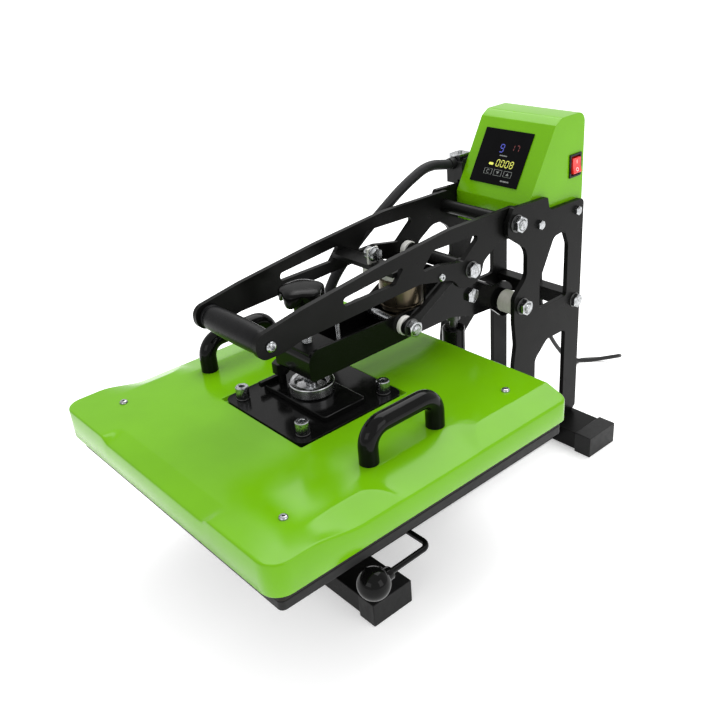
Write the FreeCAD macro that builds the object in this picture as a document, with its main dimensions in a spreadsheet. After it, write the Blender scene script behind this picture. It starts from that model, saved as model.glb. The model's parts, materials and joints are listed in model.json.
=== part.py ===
# Auto-open clamshell heat press.
# The lower platen stands on a welded base. Two upright plates at the rear carry the control box,
# the handle pivot and the pivot of the lower arm, which holds the heated upper platen.
# Two toggle links join the handle to the lower arm, and a gas spring lifts the lower arm.
# Coordinates here are those of the press: x = 0 is its middle plane, y = 0 the middle of the
# platens with the operator at -y, and z = 0 the table. Every sub-part is then moved by
# frame_x, frame_y and frame_z, which puts the origin under the middle of the whole press.

import FreeCAD, Part
import Sketcher
import math
import os
import re

doc = FreeCAD.newDocument("heat_press")
sheet = doc.addObject("Spreadsheet::Sheet", "dims")

DIMENSIONS = (
    ("frame_x", -9.25, "origin under the middle of the press, side to side"),
    ("frame_y", -98.5, "origin under the middle of the press, front to back"),
    ("frame_z", 0, "origin on the table"),
    ("fit_gap", 0.05, "radial clearance of a running fit"),
    ("face_gap", 0.3, "axial clearance between pieces that move past each other"),
    ("bar_depth", 50, "cross bar, front to back"),
    ("bar_height", 25, "cross bar and rail, height"),
    ("bar_lift", 2, "underside of the bars above the table"),
    ("tube_wall", 2, "wall of the base tubes"),
    ("front_bar_y", -57.5, "front face of the front cross bar"),
    ("rear_bar_y", 340.5, "front face of the rear cross bar"),
    ("front_bar_half", 147, "half length of the front cross bar"),
    ("rear_bar_half", 125, "half length of the rear cross bar"),
    ("cap_length", 24, "end cap, along the bar"),
    ("cap_wall", 2, "end cap wall"),
    ("rail_inner", 26, "inner face of a rail"),
    ("rail_width", 40, "rail width"),
    ("pedestal_half", 40, "half width of the pedestal tube"),
    ("pedestal_wall", 4, "pedestal wall"),
    ("pedestal_top", 104, "top of the pedestal tube"),
    ("block_half", 45, "half width of the lever block"),
    ("block_top", 128, "top of the lever block"),
    ("mount_half_x", 90, "half width of the plate under the lower platen"),
    ("mount_half_y", 80, "half depth of the plate under the lower platen"),
    ("platen_half", 190, "half side of both platens"),
    ("platen_corner", 6, "corner radius of both platens"),
    ("lower_platen_z", 138, "underside of the lower platen"),
    ("lower_platen_thick", 10, "lower platen"),
    ("pad_thick", 8, "silicone pad"),
    ("heat_platen_thick", 14, "heated platen"),
    ("element_radius", 2.9, "heating element"),
    ("element_turn_x", 135, "where the element's runs turn back"),
    ("cover_half", 197.5, "half width of the cover"),
    ("cover_front", -200, "front of the cover"),
    ("cover_rear", 190, "rear of the cover"),
    ("cover_corner", 20, "front upright corners of the cover"),
    ("cover_rear_corner", 10, "rear upright corners of the cover"),
    ("cover_low", 158, "lower rim of the cover"),
    ("cover_top", 193, "top of the cover"),
    ("cover_recess", 188, "seat of the mounting plate in the cover"),
    ("cover_edge", 182, "top of the cover at its bevelled sides"),
    ("cover_bevel_x", 168, "where the side bevels start"),
    ("cover_band_x", 150, "where the side bevels start beside the handles"),
    ("cover_inside", 180, "underside of the cover's top"),
    ("cover_skin", 2.5, "cover side wall"),
    ("cover_screw_x", 148.5, "cover screws, side to side"),
    ("cover_screw_front", -149.5, "front cover screws"),
    ("cover_screw_rear", 146, "rear cover screws"),
    ("cover_screw_radius", 3, "shank of a cover screw"),
    ("plate_top", 193.7, "top of the mounting plate"),
    ("swivel_plate_top", 200, "top of the swivel plate"),
    ("plate_bolt_x", 53.4, "mounting bolts, side to side"),
    ("plate_bolt_front", -53.6, "front mounting bolts"),
    ("plate_bolt_rear", 57, "rear mounting bolts"),
    ("plate_bolt_radius", 4, "shank of a mounting bolt"),
    ("side_handle_x", 140.3, "side handles, from the middle"),
    ("side_handle_front", -41.5, "front leg of a side handle"),
    ("side_handle_rear", 47.7, "rear leg of a side handle"),
    ("side_handle_z", 229.7, "axis of a side handle's bar"),
    ("side_handle_radius", 10, "side handle tube"),
    ("side_handle_bend", 20, "bend of a side handle"),
    ("screw_y", 2, "axis of the pressure screw"),
    ("screw_radius", 6, "pressure screw"),
    ("collar_radius", 25, "swivel collar"),
    ("collar_top", 213, "top of the swivel collar"),
    ("knob_low", 306.5, "underside of the pressure knob"),
    ("knob_top", 323.5, "top of the pressure knob"),
    ("hub_radius", 10, "hub of the pressure knob"),
    ("hub_low", 286.5, "lower end of the knob's hub"),
    ("upright_inner", 57.5, "inner face of an upright"),
    ("upright_thick", 6, "upright plate"),
    ("handle_pivot_y", 265.5, "handle pivot"),
    ("handle_pivot_z", 328, "handle pivot"),
    ("arm_pivot_y", 277, "lower arm pivot"),
    ("arm_pivot_z", 221, "lower arm pivot"),
    ("link_pin_y", 113, "pin of the links in the lower arm"),
    ("link_pin_z", 247, "pin of the links in the lower arm"),
    ("toggle_y", 197, "toggle pin between the links and the handle"),
    ("toggle_z", 292, "toggle pin between the links and the handle"),
    ("pivot_radius", 6, "pivot bolts"),
    ("nut_across", 17, "hexagon nuts of the pivots, across flats"),
    ("nut_thick", 8, "hexagon nuts of the pivots"),
    ("arm_inner", 49.5, "inner face of a handle side plate"),
    ("arm_thick", 6, "handle side plate"),
    ("side_screw_radius", 2.5, "small screws of the handle side plates"),
    ("cross_plate_y", 84, "front edge of the plate between the handle side plates"),
    ("cross_plate_depth", 22, "plate between the handle side plates, front to back"),
    ("cross_plate_low", 316.5, "underside of the plate between the handle side plates"),
    ("cross_plate_thick", 5, "plate between the handle side plates"),
    ("grip_y", -79, "grip axis"),
    ("grip_z", 302.6, "grip axis"),
    ("grip_radius", 14, "grip at its middle"),
    ("grip_end_radius", 13, "grip at its ends"),
    ("grip_bar_radius", 8, "steel bar inside the grip"),
    ("handle_tube_radius", 8, "pivot tube of the handle"),
    ("link_inner", 36, "inner face of a toggle link"),
    ("link_thick", 6, "toggle link"),
    ("link_end_radius", 10, "round end of a toggle link"),
    ("link_waist", 5, "half width of a toggle link between its ends"),
    ("spacer_radius", 8.5, "spacer tube between the toggle links"),
    ("washer_radius", 11, "white washers of the pivots"),
    ("channel_half", 30, "half width of the lower arm"),
    ("channel_wall", 3, "wall of the lower arm"),
    ("channel_floor", 228, "underside of the lower arm"),
    ("channel_floor_thick", 4, "floor of the lower arm"),
    ("channel_floor_end", 196, "rear end of the lower arm's floor"),
    ("pivot_tube_radius", 14, "pivot tube of the lower arm"),
    ("bush_radius", 14, "grey bushes beside the pivot tube"),
    ("bush_inner", 35, "inner face of a bush"),
    ("magnet_y", 140, "electromagnet axis"),
    ("magnet_radius", 25, "electromagnet"),
    ("magnet_low", 254, "underside of the electromagnet"),
    ("magnet_top", 290, "top of the electromagnet"),
    ("spring_y", 223, "gas spring axis when the press is closed"),
    ("spring_low_z", 48, "lower eye of the gas spring"),
    ("spring_top_z", 245, "upper eye of the gas spring"),
    ("cylinder_radius", 14, "gas spring cylinder"),
    ("cylinder_low", 60, "lower end of the cylinder"),
    ("cylinder_top", 195, "upper end of the cylinder"),
    ("rod_radius", 5, "gas spring rod"),
    ("box_half", 56, "half width of the control box"),
    ("box_skin", 2, "control box sheet"),
    ("gland_x", -6, "cord gland under the control box"),
    ("gland_y", 384, "cord gland under the control box"),
    ("rocker_y", 380, "rocker switch, front to back"),
    ("rocker_z", 367.6, "rocker switch, height"),
    ("lever_y", -24, "lock lever rod"),
    ("lever_z", 116, "lock lever rod"),
    ("lever_radius", 3, "lock lever rod"),
    ("lever_reach", 199, "where the lock lever turns forward"),
    ("ball_y", -96.5, "ball of the lock lever"),
    ("ball_radius", 16, "ball of the lock lever"),
    ("hose_radius", 6.25, "heater lead in its sleeve"),
    ("cord_radius", 3, "power cord"),
    ("coil_radius", 40, "outermost loop of the put-away cord, at its middle"),
    ("coil_pitch", 6.6, "step from one loop to the next and from one layer to the next"),
)

for row, (alias, value, note) in enumerate(DIMENSIONS, start=1):
    sheet.set(f"A{row}", alias)
    sheet.set(f"B{row}", str(value))
    sheet.set(f"C{row}", note)
    sheet.setAlias(f"B{row}", alias)
doc.recompute()

SIDES = (("left", -1), ("right", 1))
UP = FreeCAD.Vector(0, 0, 1)
TURNS = {
    "x": FreeCAD.Rotation(FreeCAD.Vector(0, 1, 0), 90),
    "y": FreeCAD.Rotation(FreeCAD.Vector(1, 0, 0), -90),
    "z": FreeCAD.Rotation(),
}
places = {}
nodes = []


# Values and bindings

def size(alias):
    return float(sheet.get(alias))


def put(obj, prop, text):
    """Bind a property to an expression whose words are aliases of the sheet."""
    obj.setExpression(prop, re.sub(r"[a-z]\w*", lambda word: "dims." + word.group(0), str(text)))


def place(obj, at):
    places[obj.Name] = at
    for axis, text in zip("xyz", at):
        put(obj, "Placement.Base." + axis, text)


def finish(label, obj):
    """Name a sub-part and move it from the press's coordinates to the part's own frame."""
    at = places.get(obj.Name, (0, 0, 0))
    place(obj, [f"{text} + frame_{axis}" for axis, text in zip("xyz", at)])
    obj.Label = label
    nodes.append(obj)
    return obj


# Solids from primitives

def box(name, low, sizes):
    obj = doc.addObject("Part::Box", name)
    for prop, text in zip(("Length", "Width", "Height"), sizes):
        put(obj, prop, text)
    place(obj, low)
    return obj


def rod(name, along, start, radius, length):
    """A cylinder from start along +x, +y or +z."""
    obj = doc.addObject("Part::Cylinder", name)
    obj.Placement = FreeCAD.Placement(FreeCAD.Vector(), TURNS[along])
    put(obj, "Radius", radius)
    put(obj, "Height", length)
    place(obj, start)
    return obj


def hexagon(name, along, start, across, length):
    obj = doc.addObject("Part::Prism", name)
    obj.Polygon = 6
    obj.Placement = FreeCAD.Placement(FreeCAD.Vector(), TURNS[along])
    put(obj, "Circumradius", f"({across}) / 1.7320508")
    put(obj, "Height", length)
    place(obj, start)
    return obj


def fuse(name, *pieces):
    obj = doc.addObject("Part::MultiFuse", name)
    obj.Shapes = list(pieces)
    obj.Refine = True
    return obj


def cut(name, base, *tools):
    obj = doc.addObject("Part::Cut", name)
    obj.Base = base
    obj.Tool = tools[0] if len(tools) == 1 else fuse(name + "_tools", *tools)
    return obj


def group(name, pieces):
    obj = doc.addObject("Part::Compound", name)
    obj.Links = list(pieces)
    return obj


def ring(name, along, start, outer, inner, length):
    return cut(name, rod(name + "_outer", along, start, outer, length),
               rod(name + "_bore", along, start, inner, length))


def span(side, near, far):
    """Start and length along x of a piece that lies between two distances from the middle."""
    start = near if side > 0 else f"-({far})"
    return start, f"({far}) - ({near})"


def bolt(name, side, head_near, head_thick, across, shank_near, radius, centre):
    """A bolt along x: a hexagon head on the outside and a shank towards the middle."""
    y, z = centre
    head_start, head_length = span(side, head_near, f"({head_near}) + ({head_thick})")
    shank_start, shank_length = span(side, shank_near, head_near)
    return fuse(name, hexagon(name + "_head", "x", (head_start, y, z), across, head_length),
                rod(name + "_shank", "x", (shank_start, y, z), radius, shank_length))


# Sketched solids

def rounded(corners):
    """Lines and tangent arcs around a closed outline of (a, b, corner radius)."""
    points = [FreeCAD.Vector(a, b, 0) for a, b, _ in corners]
    ends = []
    for index, (a, b, radius) in enumerate(corners):
        here = points[index]
        back = (points[index - 1] - here).normalize()
        ahead = (points[(index + 1) % len(points)] - here).normalize()
        if radius == 0:
            ends.append((here, None, here))
            continue
        half = back.getAngle(ahead) / 2
        reach = radius / math.tan(half)
        middle = here + (back + ahead).normalize() * (radius / math.sin(half) - radius)
        ends.append((here + back * reach, middle, here + ahead * reach))
    edges = []
    for index, (first, middle, last) in enumerate(ends):
        if middle:
            edges.append(Part.ArcOfCircle(first, middle, last))
        edges.append(Part.LineSegment(last, ends[(index + 1) % len(ends)][0]))
    return edges


def rectangle(low_a, low_b, high_a, high_b, radius):
    return [(low_a, low_b, radius), (high_a, low_b, radius),
            (high_a, high_b, radius), (low_a, high_b, radius)]


def sketch(body, role, offset):
    made = body.newObject("Sketcher::SketchObject", body.Name + "_sketch")
    plane = [item for item in body.Origin.OriginFeatures if item.Role == role][0]
    made.AttachmentSupport = [(plane, "")]
    made.MapMode = "FlatFace"
    put(made, "AttachmentOffset.Base.z", offset)
    return made


def slab(name, role, offset, thick, outline, windows=(), holes=()):
    """A plate from its outline, window outlines and round holes (a, b, radius alias or expression)."""
    body = doc.addObject("PartDesign::Body", name)
    drawn = sketch(body, role, offset)
    for corners in (outline, *windows):
        for edge in rounded(corners):
            drawn.addGeometry(edge)
    for a, b, radius in holes:
        hole = drawn.addGeometry(Part.Circle(FreeCAD.Vector(a, b, 0), UP, 1))
        number = drawn.addConstraint(Sketcher.Constraint("Radius", hole, 1))
        put(drawn, f"Constraints[{number}]", radius)
    pad = body.newObject("PartDesign::Pad", name + "_pad")
    pad.Profile = drawn
    put(pad, "Length", thick)
    body.Tip = pad
    return body


def turned(name, profile, along, at):
    """A round piece about its own axis from a profile of (radius, height, corner radius)."""
    body = doc.addObject("PartDesign::Body", name)
    drawn = sketch(body, "XZ_Plane", 0)
    for edge in rounded(profile):
        drawn.addGeometry(edge)
    spin = body.newObject("PartDesign::Revolution", name + "_turn")
    spin.Profile = drawn
    spin.ReferenceAxis = (drawn, ["V_Axis"])
    spin.Angle = 360
    body.Tip = spin
    body.Placement = FreeCAD.Placement(FreeCAD.Vector(), TURNS[along])
    place(body, at)
    return body


# Tubes along a path

def bent_path(points, bend=None):
    """Straight runs joined by tangent arcs. With no bend, each arc is as large as its runs allow."""
    vectors = [FreeCAD.Vector(*point) for point in points]
    edges = []
    radii = []
    last = vectors[0]
    for before, corner, after in zip(vectors, vectors[1:], vectors[2:]):
        back = (before - corner).normalize()
        ahead = (after - corner).normalize()
        half = back.getAngle(ahead) / 2
        shorter = min((before - corner).Length, (after - corner).Length)
        radius = bend or 0.45 * shorter * math.tan(half)
        reach = radius / math.tan(half)
        middle = corner + (back + ahead).normalize() * (radius / math.sin(half) - radius)
        start = corner + back * reach
        edges.append(Part.LineSegment(last, start).toShape())
        last = corner + ahead * reach
        edges.append(Part.Arc(start, middle, last).toShape())
        radii.append(round(radius, 1))
    edges.append(Part.LineSegment(last, vectors[-1]).toShape())
    return Part.Wire(edges), radii


def swept(name, wire, radius):
    """Sweep a circle along a wire, and check the volume against section times length."""
    first = wire.OrderedEdges[0]
    start = first.valueAt(first.FirstParameter)
    circle = Part.Wire(Part.Circle(start, first.tangentAt(first.FirstParameter), radius).toShape())
    obj = doc.addObject("Part::Feature", name)
    obj.Shape = wire.makePipeShell([circle], True, False)
    expected = math.pi * radius ** 2 * wire.Length
    share = obj.Shape.Volume / expected
    print(f"{name}: length {wire.Length:.0f} mm, volume {share:.4f} of section times length")
    return obj


# Base frame

def cross_bar(name, low_y, half):
    outer = box(name + "_outer", (f"-{half}", low_y, "bar_lift"), (f"2 * {half}", "bar_depth", "bar_height"))
    inner = box(name + "_inner", (f"-{half}", f"{low_y} + tube_wall", "bar_lift + tube_wall"),
                (f"2 * {half}", "bar_depth - 2 * tube_wall", "bar_height - 2 * tube_wall"))
    finish(name, cut(name + "_tube", outer, inner))


def end_cap(name, side, low_y, half):
    outer_start, outer_length = span(side, f"{half} + cap_wall - cap_length", f"{half} + cap_wall")
    inner_start, inner_length = span(side, f"{half} + cap_wall - cap_length", half)
    outer = box(name + "_outer", (outer_start, f"{low_y} - cap_wall", "bar_lift - cap_wall"),
                (outer_length, "bar_depth + 2 * cap_wall", "bar_height + 2 * cap_wall"))
    inner = box(name + "_inner", (inner_start, low_y, "bar_lift"), (inner_length, "bar_depth", "bar_height"))
    return cut(name, outer, inner)


cross_bar("front_crossbar", "front_bar_y", "front_bar_half")
cross_bar("rear_crossbar", "rear_bar_y", "rear_bar_half")
caps = []
for side_name, side in SIDES:
    caps.append(end_cap(side_name + "_front_cap", side, "front_bar_y", "front_bar_half"))
    caps.append(end_cap(side_name + "_rear_cap", side, "rear_bar_y", "rear_bar_half"))
finish("crossbar_end_caps", group("end_caps", caps))

RAIL_START = "front_bar_y + bar_depth"
RAIL_LENGTH = "rear_bar_y - front_bar_y - bar_depth"
rails = []
for side_name, side in SIDES:
    start, width = span(side, "rail_inner", "rail_inner + rail_width")
    inner_start, inner_width = span(side, "rail_inner + tube_wall", "rail_inner + rail_width - tube_wall")
    rail = box(side_name + "_rail_outer", (start, RAIL_START, "bar_lift"), (width, RAIL_LENGTH, "bar_height"))
    hollow = box(side_name + "_rail_inner", (inner_start, RAIL_START, "bar_lift + tube_wall"),
                 (inner_width, RAIL_LENGTH, "bar_height - 2 * tube_wall"))
    rails.append(cut(side_name + "_rail_tube", rail, hollow))
finish("base_rails", group("rails", rails))

FLOOR_TOP = "bar_lift + bar_height"
pedestal = box("pedestal_outer", ("-pedestal_half", "front_bar_y", FLOOR_TOP),
               ("2 * pedestal_half", "bar_depth", f"pedestal_top - ({FLOOR_TOP})"))
pedestal_hollow = box("pedestal_inner",
                      ("-pedestal_half + pedestal_wall", "front_bar_y + pedestal_wall", FLOOR_TOP),
                      ("2 * (pedestal_half - pedestal_wall)", "bar_depth - 2 * pedestal_wall",
                       f"pedestal_top - ({FLOOR_TOP})"))
pedestal_tube = cut("pedestal_tube", pedestal, pedestal_hollow)

lever_block = box("lever_block_solid", ("-block_half", "front_bar_y", "pedestal_top"),
                  ("2 * block_half", "bar_depth + 2.5", "block_top - pedestal_top"))
lever_bore = rod("lever_block_bore", "x", ("-block_half", "lever_y", "lever_z"), "lever_radius + fit_gap",
                 "2 * block_half")
finish("pedestal", fuse("welded_pedestal", pedestal_tube, cut("lever_block_bored", lever_block, lever_bore)))
finish("platen_mount_plate", box("platen_mount", ("-mount_half_x", "-mount_half_y", "block_top"),
                                 ("2 * mount_half_x", "2 * mount_half_y", "lower_platen_z - block_top")))

PLATEN = rectangle(-size("platen_half"), -size("platen_half"), size("platen_half"), size("platen_half"),
                   size("platen_corner"))
CONTACT = "lower_platen_z + lower_platen_thick + pad_thick"
finish("lower_platen", slab("lower_plate", "XY_Plane", "lower_platen_z", "lower_platen_thick", PLATEN))
finish("silicone_pad", slab("pad", "XY_Plane", "lower_platen_z + lower_platen_thick", "pad_thick", PLATEN))


# Uprights and what they carry

CROSS_TUBE = (380, 194)
CROSS_TUBE_SIDE = 19
CROSS_BOLT_RADIUS = 4
BOX_SCREWS = ((307, 315), (378, 313.5))
BOX_SCREW_RADIUS = 3
UPRIGHT = (
    (260, 347.5, 3), (321, 344.5, 3), (325, 327.5, 7), (391.5, 326, 7), (391.5, 34, 2), (384, 27, 0),
    (262, 27, 0), (262, 146, 30), (266, 172, 20), (262, 205, 20), (262, 235.5, 10), (284.5, 256, 16),
    (284.5, 292, 24), (250, 316, 9), (250, 332, 6),
)
UPPER_WINDOW = ((309, 206, 5), (309, 243, 25), (335, 292, 9), (355, 294, 7), (363, 275, 12), (363, 206, 5))
LOWER_WINDOW = ((303, 58, 6), (303, 138, 12), (326, 158, 6), (363, 158, 6), (363, 58, 6))

for side_name, side in SIDES:
    start, _ = span(side, "upright_inner", "upright_inner + upright_thick")
    upright = slab(
        side_name + "_upright_plate", "YZ_Plane", start, "upright_thick", UPRIGHT,
        windows=(UPPER_WINDOW, LOWER_WINDOW),
        holes=[(size("handle_pivot_y"), size("handle_pivot_z"), "pivot_radius + fit_gap"),
               (size("arm_pivot_y"), size("arm_pivot_z"), "pivot_radius + fit_gap"),
               (*CROSS_TUBE, f"{CROSS_BOLT_RADIUS} + fit_gap")]
              + [(*screw, f"{BOX_SCREW_RADIUS} + fit_gap") for screw in BOX_SCREWS])
    finish(side_name + "_upright", upright)

OUTER_FACE = "upright_inner + upright_thick"
half_tube = CROSS_TUBE_SIDE / 2
tube_outer = box("cross_tube_outer", ("-upright_inner", CROSS_TUBE[0] - half_tube, CROSS_TUBE[1] - half_tube),
                 ("2 * upright_inner", CROSS_TUBE_SIDE, CROSS_TUBE_SIDE))
tube_inner = box("cross_tube_inner",
                 ("-upright_inner", f"{CROSS_TUBE[0] - half_tube} + tube_wall",
                  f"{CROSS_TUBE[1] - half_tube} + tube_wall"),
                 ("2 * upright_inner", f"{CROSS_TUBE_SIDE} - 2 * tube_wall",
                  f"{CROSS_TUBE_SIDE} - 2 * tube_wall"))
finish("rear_cross_tube", cut("cross_tube", tube_outer, tube_inner))
upright_screws = [
    bolt(side_name + "_cross_bolt", side, OUTER_FACE, 6.5, 16, "upright_inner - 18", CROSS_BOLT_RADIUS,
         CROSS_TUBE)
    for side_name, side in SIDES]


def pivot(label, reach, nut_near, centre):
    """A pivot bolt through the middle with a nut near each end."""
    pieces = [rod(label + "_shank", "x", (f"-({reach})", *centre), "pivot_radius", f"2 * ({reach})")]
    for side_name, side in SIDES:
        start, length = span(side, nut_near, f"{nut_near} + nut_thick")
        at = (start, *centre)
        solid = hexagon(f"{side_name}_{label}_nut", "x", at, "nut_across", length)
        bore = rod(f"{side_name}_{label}_thread", "x", at, "pivot_radius", length)
        pieces.append(cut(f"{side_name}_{label}_bored", solid, bore))
    return pieces


HANDLE_PIVOT = ("handle_pivot_y", "handle_pivot_z")
ARM_PIVOT = ("arm_pivot_y", "arm_pivot_z")
LINK_PIN = ("link_pin_y", "link_pin_z")
TOGGLE = ("toggle_y", "toggle_z")
BOLT_END = f"{OUTER_FACE} + nut_thick + 3"
finish("handle_pivot_bolt", group("handle_pivot", pivot("upper", BOLT_END, OUTER_FACE, HANDLE_PIVOT)))
finish("arm_pivot_bolt", group("arm_pivot", pivot("lower", BOLT_END, OUTER_FACE, ARM_PIVOT)))
bushes = []
for side_name, side in SIDES:
    start, length = span(side, "bush_inner", "upright_inner")
    bushes.append(ring(side_name + "_bush", "x", (start, *ARM_PIVOT), "bush_radius", "pivot_radius", length))
finish("arm_pivot_bushes", group("bushes", bushes))


# Lower arm

CHANNEL_SIDE = (
    (-20, 228, 6), (-20, 263, 14), (148, 259.5, 4), (152, 296, 6), (178, 296, 8), (192, 283, 6),
    (214, 272, 14), (258, 243, 10), (299, 243, 20), (299, 196, 12),
    (280, 196, 14), (258, 215, 14), (225, 217, 30), (190, 228, 30),
)
channel = slab("channel_solid", "YZ_Plane", "-channel_half", "2 * channel_half", CHANNEL_SIDE)
CHANNEL_FLOOR_TOP = "channel_floor + channel_floor_thick"
INNER_WIDTH = "2 * (channel_half - channel_wall)"
channel_hollow = box("channel_hollow", ("-channel_half + channel_wall", -17, CHANNEL_FLOOR_TOP),
                     (INNER_WIDTH, 330, 80))
floor_opening = box("floor_opening", ("-channel_half + channel_wall", "channel_floor_end", 190),
                    (INNER_WIDTH, 120, 60))
screw_hole = rod("channel_screw_hole", "z", (0, "screw_y", 220), "screw_radius + fit_gap", 20)
pin_hole = rod("channel_pin_hole", "x", ("-channel_half", *LINK_PIN), "pivot_radius + fit_gap",
               "2 * channel_half")
SPRING_TOP = ("spring_y", "spring_top_z")
anchor_hole = rod("channel_anchor_hole", "x", ("-channel_half", *SPRING_TOP), 4.1, "2 * channel_half")
channel_open = cut("lower_arm_channel", channel, channel_hollow, floor_opening, screw_hole, pin_hole,
                   anchor_hole)
TUBE_START = ("-bush_inner + face_gap", *ARM_PIVOT)
TUBE_LENGTH = "2 * (bush_inner - face_gap)"
pivot_tube = rod("pivot_tube", "x", TUBE_START, "pivot_tube_radius", TUBE_LENGTH)
pivot_bore = rod("pivot_bore", "x", TUBE_START, "pivot_radius + fit_gap", TUBE_LENGTH)
finish("lower_arm", cut("welded_arm", fuse("arm_with_tube", channel_open, pivot_tube), pivot_bore))

block = box("nose_block_solid", ("-channel_half + channel_wall", -17, CHANNEL_FLOOR_TOP),
            (INNER_WIDTH, 38, 28))
block_bore = rod("nose_block_bore", "z", (0, "screw_y", CHANNEL_FLOOR_TOP), "screw_radius + fit_gap", 28)
finish("threaded_block", cut("nose_block", block, block_bore))

PIN_END = "link_inner + link_thick + face_gap + nut_thick + 2"
link_pin = pivot("link_pin", PIN_END, "link_inner + link_thick + face_gap", LINK_PIN)
for side_name, side in SIDES:
    start, length = span(side, "channel_half", "link_inner - face_gap")
    link_pin.append(ring(side_name + "_pin_washer", "x", (start, *LINK_PIN), "washer_radius", "pivot_radius",
                         length))
finish("link_pin", group("link_pin_set", link_pin))

MAGNET_HEIGHT = size("magnet_top") - size("magnet_low")
STAND_HEIGHT = size("magnet_low") - size("channel_floor") - size("channel_floor_thick")
MAGNET_CASE = ((0, -STAND_HEIGHT, 0), (12, -STAND_HEIGHT, 0), (12, 0, 0), (size("magnet_radius"), 0, 2),
               (size("magnet_radius"), MAGNET_HEIGHT, 1),
               (22, MAGNET_HEIGHT, 0), (22, MAGNET_HEIGHT - 4, 0), (9, MAGNET_HEIGHT - 4, 0),
               (9, MAGNET_HEIGHT, 0), (0, MAGNET_HEIGHT, 0))
finish("electromagnet", turned("magnet_case", MAGNET_CASE, "z", (0, "magnet_y", "magnet_low")))

STUD_Y = 44
stud = rod("stop_stud_rod", "z", (0, STUD_Y, CHANNEL_FLOOR_TOP), 2.5, 34)
stud_nut = hexagon("stop_stud_nut", "z", (0, STUD_Y, CHANNEL_FLOOR_TOP), 8, 5)
arm_bolts = [fuse("stop_stud", stud, stud_nut)]
for side_name, side in SIDES:
    arm_bolts.append(bolt(side_name + "_anchor_bolt", side, "channel_half", 5, 16,
                          "channel_half - channel_wall", 4, SPRING_TOP))
finish("lower_arm_bolts", group("arm_bolt_set", arm_bolts))


# Heated platen and its cover

HEAT_TOP = f"{CONTACT} + heat_platen_thick"
PLATE_BOLTS = [(side * size("plate_bolt_x"), size(row))
               for _, side in SIDES for row in ("plate_bolt_front", "plate_bolt_rear")]
COVER_SCREWS = [(side * size("cover_screw_x"), size(row))
                for _, side in SIDES for row in ("cover_screw_front", "cover_screw_rear")]
PLATEN_HOLES = ([(*spot, "plate_bolt_radius + 0.1") for spot in PLATE_BOLTS]
                + [(*spot, "cover_screw_radius + 0.1") for spot in COVER_SCREWS])
finish("heat_platen", slab("heat_plate", "XY_Plane", CONTACT, "heat_platen_thick", PLATEN, holes=PLATEN_HOLES))

ELEMENT_ROWS = (-170, -120, -80, -25, 25, 80, 120, 170)
element_z = size("lower_platen_z") + size("lower_platen_thick") + size("pad_thick") \
    + size("heat_platen_thick") + size("element_radius") + 0.05


def element_wire():
    """Runs along x joined by half circles, from the front row to the rear row."""
    reach = size("element_turn_x")
    edges = []
    for index, row in enumerate(ELEMENT_ROWS):
        heading = 1 if index % 2 == 0 else -1
        start = FreeCAD.Vector(-heading * reach, row, element_z)
        end = FreeCAD.Vector(heading * reach, row, element_z)
        edges.append(Part.LineSegment(start, end).toShape())
        if index + 1 < len(ELEMENT_ROWS):
            step = ELEMENT_ROWS[index + 1] - row
            middle = end + FreeCAD.Vector(heading * step / 2, step / 2, 0)
            edges.append(Part.Arc(end, middle, end + FreeCAD.Vector(0, step, 0)).toShape())
    return Part.Wire(edges)


finish("heating_element", swept("element", element_wire(), size("element_radius")))
BOARD_HALF = 185
BOARD_LOW = f"{HEAT_TOP} + 6"
finish("insulation_board", slab(
    "insulation", "XY_Plane", BOARD_LOW, f"cover_inside - ({BOARD_LOW})",
    rectangle(-BOARD_HALF, -BOARD_HALF, BOARD_HALF, BOARD_HALF, 8),
    holes=[(*spot, "plate_bolt_radius + 0.3") for spot in PLATE_BOLTS]
          + [(*spot, "cover_screw_radius + 0.3") for spot in COVER_SCREWS]))
finish("overheat_cutout", rod("cutout_disc", "z", (0, 0, HEAT_TOP), 8, 5.5))

COVER = ((-size("cover_half"), size("cover_front"), size("cover_corner")),
         (size("cover_half"), size("cover_front"), size("cover_corner")),
         (size("cover_half"), size("cover_rear"), size("cover_rear_corner")),
         (-size("cover_half"), size("cover_rear"), size("cover_rear_corner")))
cover = slab("cover_solid", "XY_Plane", "cover_low", "cover_top - cover_low", COVER)
PAD_REAR = -109
MIDDLE_HALF = 97
bevel_cuts = []
for side_name, side in SIDES:
    near = side * size("cover_bevel_x")
    far = side * (size("cover_half") + 1)
    slope = ((near, size("cover_top"), 0), (far, size("cover_edge"), 0), (far, size("cover_top") + 1, 0),
             (near, size("cover_top") + 1, 0))
    bevel_cuts.append(slab(side_name + "_bevel_cut", "XZ_Plane", "-cover_rear - 1",
                           f"cover_rear + 1 - ({PAD_REAR})", slope))
front_slope = ((-177, size("cover_top"), 0), (-177, size("cover_top") + 1, 0),
               (size("cover_front") - 1, size("cover_top") + 1, 0),
               (size("cover_front") - 1, size("cover_top") - 6, 0))
bevel_cuts.append(slab("front_bevel_cut", "YZ_Plane", -MIDDLE_HALF, 2 * MIDDLE_HALF, front_slope))
BAND_FRONT = -62
BAND_REAR = 66
for side_name, side in SIDES:
    near = side * size("cover_band_x")
    far = side * (size("cover_half") + 1)
    slope = ((near, size("cover_top"), 0), (far, size("cover_edge"), 0), (far, size("cover_top") + 1, 0),
             (near, size("cover_top") + 1, 0))
    bevel_cuts.append(slab(side_name + "_band_cut", "XZ_Plane", -BAND_REAR, BAND_REAR - BAND_FRONT, slope))
PLATE = (-70, -69, 70, 72)
SEAT_GAP = 1
bevel_cuts.append(box("plate_seat", (PLATE[0] - SEAT_GAP, PLATE[1] - SEAT_GAP, "cover_recess"),
                      (PLATE[2] - PLATE[0] + 2 * SEAT_GAP, PLATE[3] - PLATE[1] + 2 * SEAT_GAP,
                       "cover_top - cover_recess + 1")))
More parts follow.
